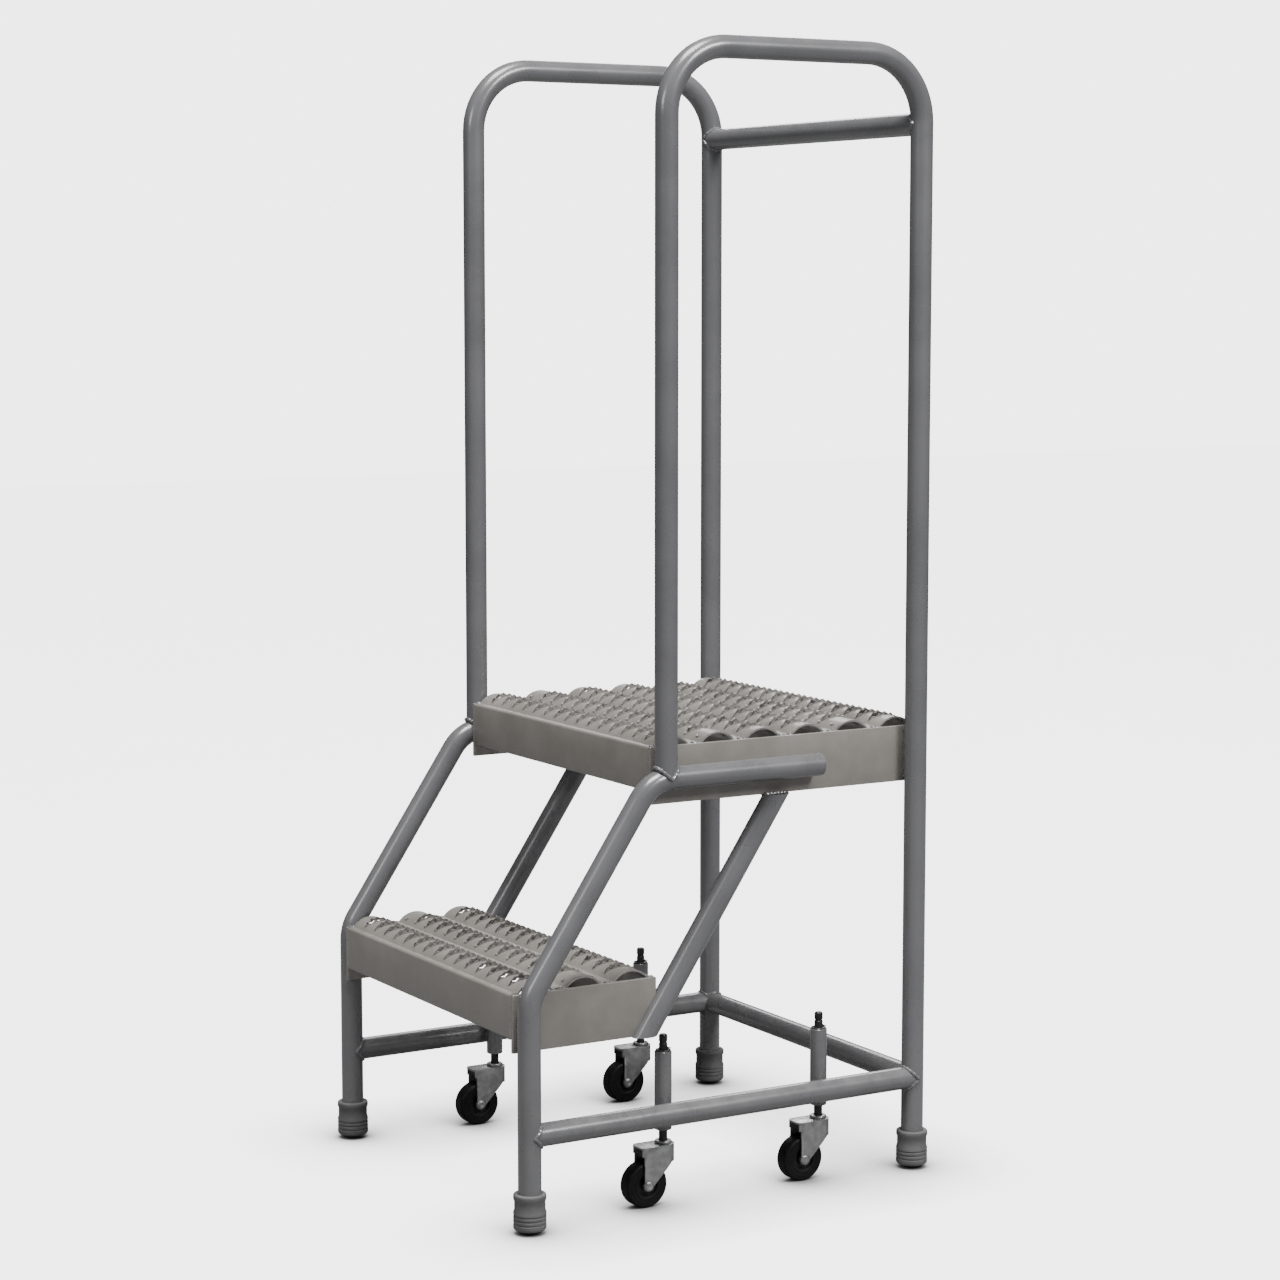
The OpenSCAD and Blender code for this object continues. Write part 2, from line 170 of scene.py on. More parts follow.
def makePaintGrain():
    group, ins, outs = newGroup("paintGrain", {"Grain Scale": 900.0, "Cloud Scale": 9.0}, ("Cloud", "Height"))
    place = group.nodes.new("ShaderNodeTexCoord").outputs["Object"]
    cloud = addNoise(group, place, ins.outputs["Cloud Scale"], 3)
    peel = addNoise(group, place, ins.outputs["Grain Scale"], 2, 0.5)
    group.links.new(addRange(group, cloud, 0.3, 0.7), outs.inputs["Cloud"])
    group.links.new(peel, outs.inputs["Height"])
    return group


# Worn corners, found where the surface turns sharply outwards, and broken up by noise
def makeEdgeWear():
    group, ins, outs = newGroup("edgeWear", {"From": 0.53, "To": 0.6, "Breakup Scale": 160.0}, ("Wear",))
    sharp = group.nodes.new("ShaderNodeNewGeometry").outputs["Pointiness"]
    place = group.nodes.new("ShaderNodeTexCoord").outputs["Object"]
    ragged = addRange(group, addNoise(group, place, ins.outputs["Breakup Scale"], 5), 0.42, 0.62)
    edge = addRange(group, sharp, ins.outputs["From"], ins.outputs["To"])
    group.links.new(addMath(group, "MULTIPLY", edge, ragged, True), outs.inputs["Wear"])
    return group


# Dust that lies on what faces up and thickens towards the floor
def makeDust():
    group, ins, outs = newGroup("dust", {"Height": 0.35, "Amount": 0.5}, ("Dust",))
    geometry = group.nodes.new("ShaderNodeNewGeometry")
    split = group.nodes.new("ShaderNodeSeparateXYZ")
    group.links.new(geometry.outputs["Normal"], split.inputs[0])
    place = group.nodes.new("ShaderNodeTexCoord").outputs["Object"]
    spot = group.nodes.new("ShaderNodeSeparateXYZ")
    group.links.new(place, spot.inputs[0])
    level = addRange(group, split.outputs["Z"], 0.1, 1.0)
    low = addMath(group, "SUBTRACT", 1.0, addRange(group, spot.outputs["Z"], 0.0, ins.outputs["Height"]))
    patchy = addRange(group, addNoise(group, place, 38.0, 6, 0.65), 0.35, 0.75)
    both = addMath(group, "ADD", addMath(group, "MULTIPLY", level, 0.6), addMath(group, "MULTIPLY", low, 0.5))
    dusty = addMath(group, "MULTIPLY", addMath(group, "MULTIPLY", both, patchy), ins.outputs["Amount"], True)
    group.links.new(dusty, outs.inputs["Dust"])
    return group


# Fine scratches: stretched noise, kept only at its peaks
def makeScuffs():
    group, ins, outs = newGroup("scuffs", {"Scale": 60.0, "Amount": 0.5}, ("Scuff",))
    place = group.nodes.new("ShaderNodeTexCoord").outputs["Object"]
    stretch = group.nodes.new("ShaderNodeMapping")
    stretch.inputs["Scale"].default_value = (1, 0.16, 1)
    stretch.inputs["Rotation"].default_value = (0.5, 0.3, 0.4)
    group.links.new(place, stretch.inputs["Vector"])
    streak = addNoise(group, stretch.outputs[0], ins.outputs["Scale"], 8, 0.7)
    where = addRange(group, addNoise(group, place, 7.0, 2), 0.5, 0.75)
    lines = addMath(group, "MULTIPLY", addRange(group, streak, 0.66, 0.74), where)
    group.links.new(addMath(group, "MULTIPLY", lines, ins.outputs["Amount"], True), outs.inputs["Scuff"])
    return group


groups = {"grain": makePaintGrain(), "wear": makeEdgeWear(), "dust": makeDust(), "scuffs": makeScuffs()}
print("shader groups made")


def startMaterial(name):
    material = bpy.data.materials.new(name)
    material.use_nodes = True
    tree = material.node_tree
    shader = next(n for n in tree.nodes if n.type == "BSDF_PRINCIPLED")
    return material, tree, shader


def placeGroup(tree, name, **values):
    node = tree.nodes.new("ShaderNodeGroup")
    node.node_tree = groups[name]
    for socket, value in values.items():
        node.inputs[socket.replace("_", " ")].default_value = value
    return node


def mixColour(tree, factor, first, second):
    node = tree.nodes.new("ShaderNodeMix")
    node.data_type = "RGBA"
    tree.links.new(factor, node.inputs["Factor"])
    for socket, value in ((node.inputs[6], first), (node.inputs[7], second)):
        if isinstance(value, tuple):
            socket.default_value = (*value, 1)
        else:
            tree.links.new(value, socket)
    return node.outputs[2]


def mixValue(tree, factor, first, second):
    node = tree.nodes.new("ShaderNodeMix")
    tree.links.new(factor, node.inputs[0])
    for socket, value in ((node.inputs[2], first), (node.inputs[3], second)):
        if isinstance(value, (int, float)):
            socket.default_value = value
        else:
            tree.links.new(value, socket)
    return node.outputs[0]


def addBump(tree, shader, height, strength, distance):
    bump = tree.nodes.new("ShaderNodeBump")
    bump.inputs["Strength"].default_value = strength
    bump.inputs["Distance"].default_value = distance
    tree.links.new(height, bump.inputs["Height"])
    tree.links.new(bump.outputs[0], shader.inputs["Normal"])


# What every painted piece shares
shopWear = {
    "bareSteel": (0.42, 0.41, 0.4), "bareRough": 0.35, "dustColour": (0.33, 0.31, 0.28), "dustRough": 0.85,
    "dustHeight": 0.3, "coatRough": 0.18, "peelDeep": 0.0006,
}


# Painted steel: cloudy enamel with orange peel, bare steel where it is worn, and dust
def makeEnamel(name, paint):
    material, tree, shader = startMaterial(name)
    grain = placeGroup(tree, "grain", Grain_Scale=paint["peelScale"], Cloud_Scale=paint["cloudScale"])
    wear = placeGroup(tree, "wear", From=paint["wearFrom"], To=paint["wearTo"])
    dust = placeGroup(tree, "dust", Height=shopWear["dustHeight"], Amount=paint["dust"])
    scuffs = placeGroup(tree, "scuffs", Scale=paint["scuffScale"], Amount=paint["scuffs"])
    colour = mixColour(tree, grain.outputs["Cloud"], paint["dark"], paint["light"])
    colour = mixColour(tree, scuffs.outputs["Scuff"], colour, paint["scuffColour"])
    colour = mixColour(tree, wear.outputs["Wear"], colour, shopWear["bareSteel"])
    colour = mixColour(tree, dust.outputs["Dust"], colour, shopWear["dustColour"])
    rough = mixValue(tree, grain.outputs["Cloud"], paint["rough"] - 0.04, paint["rough"] + 0.05)
    rough = mixValue(tree, dust.outputs["Dust"], rough, shopWear["dustRough"])
    rough = mixValue(tree, wear.outputs["Wear"], rough, shopWear["bareRough"])
    tree.links.new(colour, shader.inputs["Base Color"])
    tree.links.new(rough, shader.inputs["Roughness"])
    tree.links.new(wear.outputs["Wear"], shader.inputs["Metallic"])
    addBump(tree, shader, grain.outputs["Height"], paint["peel"], shopWear["peelDeep"])
    shader.inputs["Coat Weight"].default_value = paint["coat"]
    shader.inputs["Coat Roughness"].default_value = shopWear["coatRough"]
    return material


tubePaint = {
    "dark": (0.12, 0.12, 0.125), "light": (0.138, 0.138, 0.144), "scuffColour": (0.3, 0.3, 0.31),
    "rough": 0.27, "coat": 0.5, "peel": 0.06, "peelScale": 700.0, "cloudScale": 14.0,
    "wearFrom": 0.58, "wearTo": 0.66, "dust": 0.25, "scuffScale": 90.0, "scuffs": 0.4,
}

treadPaint = {
    "dark": (0.202, 0.188, 0.17), "light": (0.24, 0.225, 0.206), "scuffColour": (0.4, 0.39, 0.37),
    "rough": 0.42, "coat": 0.2, "peel": 0.2, "peelScale": 600.0, "cloudScale": 22.0,
    "wearFrom": 0.54, "wearTo": 0.6, "dust": 0.25, "scuffScale": 120.0, "scuffs": 0.8,
}


def makeRubber(name, rubber):
    material, tree, shader = startMaterial(name)
    grain = placeGroup(tree, "grain", Grain_Scale=rubber["grainScale"], Cloud_Scale=30.0)
    dust = placeGroup(tree, "dust", Height=0.06, Amount=rubber["dust"])
    scuffs = placeGroup(tree, "scuffs", Scale=140.0, Amount=rubber["scuffs"])
    colour = mixColour(tree, grain.outputs["Cloud"], rubber["dark"], rubber["light"])
    colour = mixColour(tree, scuffs.outputs["Scuff"], colour, rubber["scuffColour"])
    colour = mixColour(tree, dust.outputs["Dust"], colour, rubber["dustColour"])
    rough = mixValue(tree, grain.outputs["Cloud"], rubber["rough"] - 0.06, rubber["rough"] + 0.06)
    shader.inputs["Specular IOR Level"].default_value = rubber["specular"]
    tree.links.new(colour, shader.inputs["Base Color"])
    tree.links.new(rough, shader.inputs["Roughness"])
    addBump(tree, shader, grain.outputs["Height"], rubber["bump"], 0.0005)
    return material


tipRubber = {
    "dark": (0.1, 0.1, 0.102), "light": (0.128, 0.128, 0.129), "scuffColour": (0.27, 0.27, 0.27),
    "dustColour": (0.3, 0.29, 0.27), "rough": 0.72, "bump": 0.35, "grainScale": 1200.0, "dust": 0.3, "scuffs": 0.5,
    "specular": 0.4,
}

wheelRubber = {
    "dark": (0.004, 0.004, 0.0045), "light": (0.008, 0.008, 0.0085), "scuffColour": (0.05, 0.048, 0.045),
    "dustColour": (0.07, 0.066, 0.06), "rough": 0.5, "bump": 0.2, "grainScale": 1500.0, "dust": 0.1, "scuffs": 0.4,
    "specular": 0.22,
}

wheelCore = {
    "dark": (0.009, 0.009, 0.0095), "light": (0.015, 0.015, 0.016), "scuffColour": (0.06, 0.06, 0.06),
    "dustColour": (0.07, 0.066, 0.06), "rough": 0.38, "bump": 0.12, "grainScale": 1500.0, "dust": 0.1, "scuffs": 0.4,
    "specular": 0.3,
}


# Plated or oiled metal, with a crystalline cloud and worn bright corners
def makePlate(name, plate):
    material, tree, shader = startMaterial(name)
    grain = placeGroup(tree, "grain", Grain_Scale=plate["grainScale"], Cloud_Scale=plate["cloudScale"])
    wear = placeGroup(tree, "wear", From=0.54, To=0.62, Breakup_Scale=400.0)
    dust = placeGroup(tree, "dust", Height=0.2, Amount=plate["dust"])
    scuffs = placeGroup(tree, "scuffs", Scale=260.0, Amount=0.6)
    colour = mixColour(tree, grain.outputs["Cloud"], plate["dark"], plate["light"])
    colour = mixColour(tree, scuffs.outputs["Scuff"], colour, plate["bright"])
    colour = mixColour(tree, wear.outputs["Wear"], colour, plate["bright"])
    colour = mixColour(tree, dust.outputs["Dust"], colour, (0.2, 0.19, 0.17))
    rough = mixValue(tree, grain.outputs["Cloud"], plate["rough"] - 0.07, plate["rough"] + 0.07)
    rough = mixValue(tree, dust.outputs["Dust"], rough, 0.8)
    metal = mixValue(tree, dust.outputs["Dust"], plate["metal"], 0.0)
    tree.links.new(colour, shader.inputs["Base Color"])
    tree.links.new(rough, shader.inputs["Roughness"])
    tree.links.new(metal, shader.inputs["Metallic"])
    addBump(tree, shader, grain.outputs["Height"], 0.1, 0.0004)
    return material


zincPlate = {
    "dark": (0.3, 0.3, 0.305), "light": (0.42, 0.42, 0.425), "bright": (0.68, 0.68, 0.68),
    "rough": 0.36, "metal": 0.85, "grainScale": 1600.0, "cloudScale": 120.0, "dust": 0.3,
}

oiledSteel = {
    "dark": (0.028, 0.028, 0.03), "light": (0.05, 0.05, 0.052), "bright": (0.3, 0.3, 0.3),
    "rough": 0.42, "metal": 0.7, "grainScale": 1600.0, "cloudScale": 90.0, "dust": 0.2,
}


def makeFloor():
    material, tree, shader = startMaterial("paleFloor")
    place = tree.nodes.new("ShaderNodeTexCoord").outputs["Object"]
    cloud = addNoise(tree, place, 2.5, 3)
    pale = mixColour(tree, cloud, (0.86, 0.86, 0.865), (0.89, 0.89, 0.89))
    tree.links.new(mixColour(tree, cloud, (0.19, 0.19, 0.192), (0.21, 0.21, 0.21)), shader.inputs["Base Color"])
    tree.links.new(pale, shader.inputs["Emission Color"])
    path = tree.nodes.new("ShaderNodeLightPath")
    # Painted contact shade: the camera-only glow is dimmed by ambient occlusion near the feet and wheels
    nearby = tree.nodes.new("ShaderNodeAmbientOcclusion")
    nearby.inputs["Distance"].default_value = studio["shadeReach"]
    clear = addMath(tree, "POWER", nearby.outputs["AO"], studio["shadeDepth"])
    glow = addMath(tree, "MULTIPLY", clear, studio["floorGlow"])
    tree.links.new(addMath(tree, "MULTIPLY", path.outputs["Is Camera Ray"], glow), shader.inputs["Emission Strength"])
    shader.inputs["Roughness"].default_value = 0.9
    bpy.ops.mesh.primitive_plane_add(size=24, location=(0, 0, 0))
    floor = bpy.context.object
    floor.name = "floor"
    floor.data.materials.append(material)


paints = {
    "tube_paint": makeEnamel("tubeEnamel", tubePaint),
    "tread_paint": makeEnamel("treadEnamel", treadPaint),
    "tip_rubber": makeRubber("tipRubber", tipRubber),
    "wheel_rubber": makeRubber("wheelRubber", wheelRubber),
    "wheel_core": makeRubber("wheelCore", wheelCore),
    "zinc": makePlate("zincPlate", zincPlate),
    "dark_steel": makePlate("oiledSteel", oiledSteel),
}
slotOf = {part["node"]: part["material_slot"] for part in frame["record"]["subparts"]}
for node, piece in frame["nodes"].items():
    piece.data.materials.clear()
    piece.data.materials.append(paints[slotOf[node]])
setCamera()
setLights()
makeFloor()
print("materials, camera and light made")


def clearSelection():
    if bpy.context.object and bpy.context.object.mode != "OBJECT":
        bpy.ops.object.mode_set(mode="OBJECT")
    bpy.ops.object.select_all(action="DESELECT")


def selectOnly(piece):
    clearSelection()
    piece.select_set(True)
    bpy.context.view_layer.objects.active = piece


def enterEdit(piece, mode="VERT"):
    selectOnly(piece)
    bpy.ops.object.mode_set(mode="EDIT")
    bpy.ops.mesh.select_mode(type=mode)


def leaveEdit():
    bpy.ops.object.mode_set(mode="OBJECT")


def settle(piece):
    selectOnly(piece)
    bpy.ops.object.transform_apply(location=True, rotation=True, scale=True)


def applyModifier(piece, kind, **values):
    selectOnly(piece)
    modifier = piece.modifiers.new(kind.lower(), kind)
    for name, value in values.items():
        setattr(modifier, name, value)
    bpy.ops.object.modifier_apply(modifier=modifier.name)


def finishPiece(piece, name, body, slot, replaced=(), smooth=35):
    settle(piece)
    if smooth:
        bpy.ops.object.shade_smooth_by_angle(angle=math.radians(smooth))
    piece.name = name
    piece.data.name = name
    piece.data.materials.clear()
    piece.data.materials.append(paints[slot])
    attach(piece, body)
    if replaced:
        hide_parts(*replaced)
    return piece


def joinPieces(pieces):
    clearSelection()
    for piece in pieces:
        piece.select_set(True)
    bpy.context.view_layer.objects.active = pieces[0]
    if len(pieces) > 1:
        bpy.ops.object.join()
    return bpy.context.object


def centreOf(node):
    low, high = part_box(node)
    return (low + high) / 2


lowBar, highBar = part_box("base_crossbar")
tube = {
    "r": (highBar.z - lowBar.z) / 2,
    "wall": 0.00165,
    "sides": 48,
    "bendSteps": 16,
    "endStep": 0.003,
    "runStep": 0.05,
    "railBend": 0.073,
    "stringerBend": 0.048,
    "rearY": (highBar.y + lowBar.y) / 2,
    "baseZ": (highBar.z + lowBar.z) / 2,
    "upperZ": centreOf("upper_crossbar").z,
    "legX": centreOf("base_rail_right").x,
    "frontY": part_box("stringer_right")[0].y + (highBar.z - lowBar.z) / 2,
    "runZ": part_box("stringer_right")[1].z - (highBar.z - lowBar.z) / 2,
    "runEndY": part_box("stringer_right")[1].y,
    "footZ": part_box("stringer_right")[0].z,
    "postY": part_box("handrail_right")[0].y + (highBar.z - lowBar.z) / 2,
    "railZ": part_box("handrail_right")[1].z - (highBar.z - lowBar.z) / 2,
    "lowerBendZ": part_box("step_side_plate_right")[1].z - 0.0045,
    "upperBendLead": 0.0185,
    "braceX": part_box("step_side_plate_right")[1].x,
    "braceSeat": 0.0236,
}


# A tube swept the way a bender makes it: straight runs extruded, corners spun round their centre
def bendTube(path, bendR):
    points = [Vector(p) for p in path]
    ways = [(b - a).normalized() for a, b in zip(points, points[1:])]
    clearSelection()
    bpy.ops.mesh.primitive_circle_add(
        vertices=tube["sides"], radius=tube["r"], fill_type="NOTHING",
        location=points[0], rotation=ways[0].to_track_quat("Z", "Y").to_euler())
    made = bpy.context.object
    settle(made)
    enterEdit(made)
    bpy.ops.mesh.select_all(action="SELECT")
    at = points[0]
    for i, way in enumerate(ways):
        last = i == len(ways) - 1
        turn = 0 if last else way.angle(ways[i + 1])
        stop = points[i + 1] - way * bendR * math.tan(turn / 2)
        run = (stop - at).length
        inner = max(1, round((run - 2 * tube["endStep"]) / tube["runStep"]))
        for length in [tube["endStep"]] + [(run - 2 * tube["endStep"]) / inner] * inner + [tube["endStep"]]:
            bpy.ops.mesh.extrude_region_move(TRANSFORM_OT_translate={"value": way * length})
        if not last:
            axis = way.cross(ways[i + 1]).normalized()
            centre = stop + axis.cross(way) * bendR
            bpy.ops.mesh.spin(steps=tube["bendSteps"], angle=-turn, center=centre, axis=axis)
            at = centre + Matrix.Rotation(turn, 3, axis) @ (stop - centre)
    bpy.ops.mesh.select_all(action="SELECT")
    bpy.ops.mesh.remove_doubles(threshold=0.00001)
    bpy.ops.mesh.normals_make_consistent(inside=False)
    leaveEdit()
    return made


def wallTube(piece):
    applyModifier(piece, "SOLIDIFY", thickness=tube["wall"], offset=-1, use_even_offset=True)


stringerPath = [
    (0, tube["frontY"], tube["footZ"]),
    (0, tube["frontY"], tube["lowerBendZ"]),
    (0, tube["postY"] - tube["upperBendLead"], tube["runZ"]),
    (0, tube["runEndY"], tube["runZ"]),
]
# Welded ends run on into the tube they meet, as far as its centre line
railPath = [
    (0, tube["postY"], tube["runZ"]),
    (0, tube["postY"], tube["railZ"]),
    (0, tube["rearY"], tube["railZ"]),
    (0, tube["rearY"], tube["footZ"]),
]


def shifted(path, x):
    return [Vector(p) + Vector((x, 0, 0)) for p in path]


for side, sign in sides.items():
    x = sign * tube["legX"]
    stringer = bendTube(shifted(stringerPath, x), tube["stringerBend"])
    wallTube(stringer)
    finishPiece(stringer, f"stringer_tube_{side}", "frame", "tube_paint", [f"stringer_{side}"])

    handrail = bendTube(shifted(railPath, x), tube["railBend"])
    wallTube(handrail)
    finishPiece(handrail, f"handrail_tube_{side}", "frame", "tube_paint", [f"handrail_{side}"])

    front, rear = (x, tube["frontY"], tube["baseZ"]), (x, tube["rearY"], tube["baseZ"])
    rail = bendTube([front, rear], 0)
    wallTube(rail)
    finishPiece(rail, f"base_rail_tube_{side}", "frame", "tube_paint", [f"base_rail_{side}"])

for name, height in (("base_crossbar", tube["baseZ"]), ("upper_crossbar", tube["upperZ"])):
    left, right = (-tube["legX"], tube["rearY"], height), (tube["legX"], tube["rearY"], height)
    bar = bendTube([left, right], 0)
    wallTube(bar)
    finishPiece(bar, f"{name}_tube", "frame", "tube_paint", [name])
print("frame tubes made")


def selectWhere(piece, kind, test):
    items = {"VERT": piece.data.vertices, "EDGE": piece.data.edges, "FACE": piece.data.polygons}[kind]
    enterEdit(piece, kind)
    bpy.ops.mesh.select_all(action="DESELECT")
    leaveEdit()
    for item in items:
        item.select = bool(test(item))
    bpy.ops.object.mode_set(mode="EDIT")


# Folded plank: flats and arched ribs pierced by diamonds, whose rims are drawn up into teeth
plank = {
    "sheet": 0.002,
    "ribs": 3,
    "ribWidth": 0.044,
    "ribRise": 0.0105,      # to the sheet; the teeth stand above it
    "archSteps": 12,
    "pitch": 0.0254,
    "diamondLength": 0.0405,
    "diamondWidth": 0.0155,
    "fullness": 1.7,        # 1 for straight-sided diamonds, 2 for ovals
    "diamondTip": 0.0024,   # width left at a diamond's pointed ends
    "endClear": 0.008,
    "tooth": 0.0028,
    "toothRoot": 0.0007,
    "flangeLip": 0.0127,
    "foldR": 0.003,
    "deckRise": 0.0127,     # from the deck's flats to the tips of the teeth
    "columnsPerPitch": 6,
    "near": 0.0003,         # how close counts as on a line
}


def plankRows(depth):
    # The sheet's section from front to back: (y, z, rib number or None)
    rise, half = plank["ribRise"], plank["ribWidth"] / 2
    arcR = (half ** 2 + rise ** 2) / (2 * rise)
    spread = math.asin(half / arcR)
    pitch = depth / plank["ribs"]
    rows = [(0.0, 0.0, None)]
    for rib in range(plank["ribs"]):
        middle = (rib + 0.5) * pitch
        for step in range(plank["archSteps"] + 1):
            angle = spread * (2 * step / plank["archSteps"] - 1)
            rows.append((middle + arcR * math.sin(angle), arcR * math.cos(angle) - arcR + rise, rib))
    return rows + [(depth, 0.0, None)]


def diamondHalf(row, depth):
    # Half width of a diamond at this row, or nothing where the row misses the diamonds
    if row[2] is None:
        return None
    off = abs(row[0] - (row[2] + 0.5) * depth / plank["ribs"]) / (plank["diamondLength"] / 2)
    if off > 1.001:
        return None
    tip = plank["diamondTip"] / 2
    return tip + (plank["diamondWidth"] / 2 - tip) * (1 - min(off, 1) ** plank["fullness"])


def makePlank(node):
    low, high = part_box(node)
    deckZ = high.z - plank["deckRise"]
    width, depth, pitch = high.x - low.x, high.y - low.y, plank["pitch"]
    rows = plankRows(depth)
    cells = int(width / 2 / pitch)
    clearSelection()
    share = plank["columnsPerPitch"]
    columns = share * (2 * cells + 2)
    bpy.ops.mesh.primitive_grid_add(x_subdivisions=columns, y_subdivisions=len(rows) - 1, size=1)
    sheet = bpy.context.object
    reach = (width / 2 - plank["endClear"]) / pitch
    near = plank["near"]
    holes = {}
    for vertex in sheet.data.vertices:
        column = round((vertex.co.x + 0.5) * columns)
        index = round((vertex.co.y + 0.5) * (len(rows) - 1))
        row = rows[index]
        shift = 0 if row[2] is None or row[2] % 2 == 0 else share // 2
        local = (column - columns // 2 - shift + share // 2) % share - share // 2
        x = (column - columns // 2) * pitch / share
        middle = (column - columns // 2 - local) / share
        half = diamondHalf(row, depth)
        if half is not None and abs(local) in (1, 2) and abs(middle) + half / pitch < reach:
            edge = half if abs(local) == 1 else (half + pitch / 2) / 2
            x = middle * pitch + math.copysign(edge, local)
            if abs(local) == 1:
                holes[vertex.index] = middle
        elif half is not None and local == 0 and abs(middle) + half / pitch < reach:
            holes[vertex.index] = middle
        x = max(-width / 2, min(width / 2, x))
        vertex.co = (x, low.y + row[0], deckZ + row[1])

    # Open the diamonds
    selectWhere(sheet, "FACE", lambda face: len({holes.get(v) for v in face.vertices}) == 1
                and face.vertices[0] in holes)
    bpy.ops.mesh.delete(type="FACE")
    bpy.ops.mesh.select_all(action="SELECT")
    bpy.ops.mesh.remove_doubles(threshold=0.00005)
    leaveEdit()

    # Rims of the diamonds rise into a row of teeth
    rim = boundaryEdges(sheet)
    ends = (low.x + 0.0005, high.x - 0.0005, low.y + 0.0005, high.y - 0.0005)
    verts = sheet.data.vertices
    selectWhere(sheet, "EDGE", lambda edge: edge.index in rim and all(
        ends[0] < verts[v].co.x < ends[1] and ends[2] < verts[v].co.y < ends[3] for v in edge.vertices))
    bpy.ops.mesh.extrude_edges_move(TRANSFORM_OT_translate={"value": (0, 0, plank["toothRoot"])})
    leaveEdit()
    levels = sorted({round(row[0], 5) for row in rows})
    for vertex in sheet.data.vertices:
        if vertex.select:
            spot = min(range(len(levels)), key=lambda i: abs(levels[i] - (vertex.co.y - low.y)))
            vertex.co.z += (plank["tooth"] - plank["toothRoot"]) * (spot % 2 == 1)

    # Flanges turned down and lips turned in
    for edgeY, way in ((low.y, 1), (high.y, -1)):
        verts = sheet.data.vertices
        selectWhere(sheet, "EDGE", lambda edge: all(
            abs(verts[v].co.y - edgeY) < near and abs(verts[v].co.z - deckZ) < near for v in edge.vertices))
        foot = low.z + plank["sheet"] / 2
        bpy.ops.mesh.extrude_edges_move(TRANSFORM_OT_translate={"value": (0, 0, foot - deckZ)})
        bpy.ops.mesh.extrude_edges_move(TRANSFORM_OT_translate={"value": (0, way * plank["flangeLip"], 0)})
        leaveEdit()
        for corner in (deckZ, foot):
            verts = sheet.data.vertices
            selectWhere(sheet, "EDGE", lambda edge: all(
                abs(verts[v].co.y - edgeY) < near and abs(verts[v].co.z - corner) < near for v in edge.vertices))
            bpy.ops.mesh.bevel(offset=plank["foldR"], segments=3, affect="EDGES")
            leaveEdit()

    enterEdit(sheet)
    bpy.ops.mesh.select_all(action="SELECT")
    bpy.ops.mesh.normals_make_consistent(inside=False)
    leaveEdit()
    top = [f for f in sheet.data.polygons if abs(f.normal.z) > 0.7 and f.center.z > deckZ - 0.001]
    if sum(f.normal.z * f.area for f in top) < 0:
        enterEdit(sheet)
        bpy.ops.mesh.select_all(action="SELECT")
        bpy.ops.mesh.flip_normals()
        leaveEdit()
    applyModifier(sheet, "SOLIDIFY", thickness=plank["sheet"], offset=-1, use_even_offset=True,
                  thickness_clamp=1.0)
    finishPiece(sheet, f"{node}_pierced", "frame", "tread_paint", [node], 40)


def boundaryEdges(piece):
    count = {}
    for face in piece.data.polygons:
        for key in face.edge_keys:
            count[key] = count.get(key, 0) + 1
    return {edge.index for edge in piece.data.edges if count.get(edge.key, 0) == 1}


for node in ("step_plank", "platform_front_plank", "platform_rear_plank"):
    makePlank(node)
print("pierced planks made")


# A wire or weld bead swept along points; ripple swells it once every pitch, as a weld's ridges do
def sweepWire(points, radius, closed=False, ripple=0.0, sides=2):
    clearSelection()
    curve = bpy.data.curves.new("wire", "CURVE")
    curve.dimensions = "3D"
    curve.bevel_depth = radius
    curve.bevel_resolution = sides
    curve.use_fill_caps = not closed
    spline = curve.splines.new("POLY")
    spline.points.add(len(points) - 1)
    spline.use_cyclic_u = closed
    for i, (point, spot) in enumerate(zip(spline.points, points)):
        point.co = (*spot, 1)
        swell = 1 + ripple * math.sin(i * math.pi / 2) + ripple * 0.6 * math.sin(i * 0.37 + spot[2] * 90)
        if not closed and ripple and i in (0, len(points) - 1):
            swell *= 0.45
        point.radius = swell
    made = bpy.data.objects.new("wire", curve)
    bpy.context.collection.objects.link(made)
    selectOnly(made)
    bpy.ops.object.convert(target="MESH")
    enterEdit(bpy.context.object)
    bpy.ops.mesh.select_all(action="SELECT")
    bpy.ops.mesh.remove_doubles(threshold=0.000005)
    bpy.ops.mesh.normals_make_consistent(inside=False)
    leaveEdit()
    return bpy.context.object


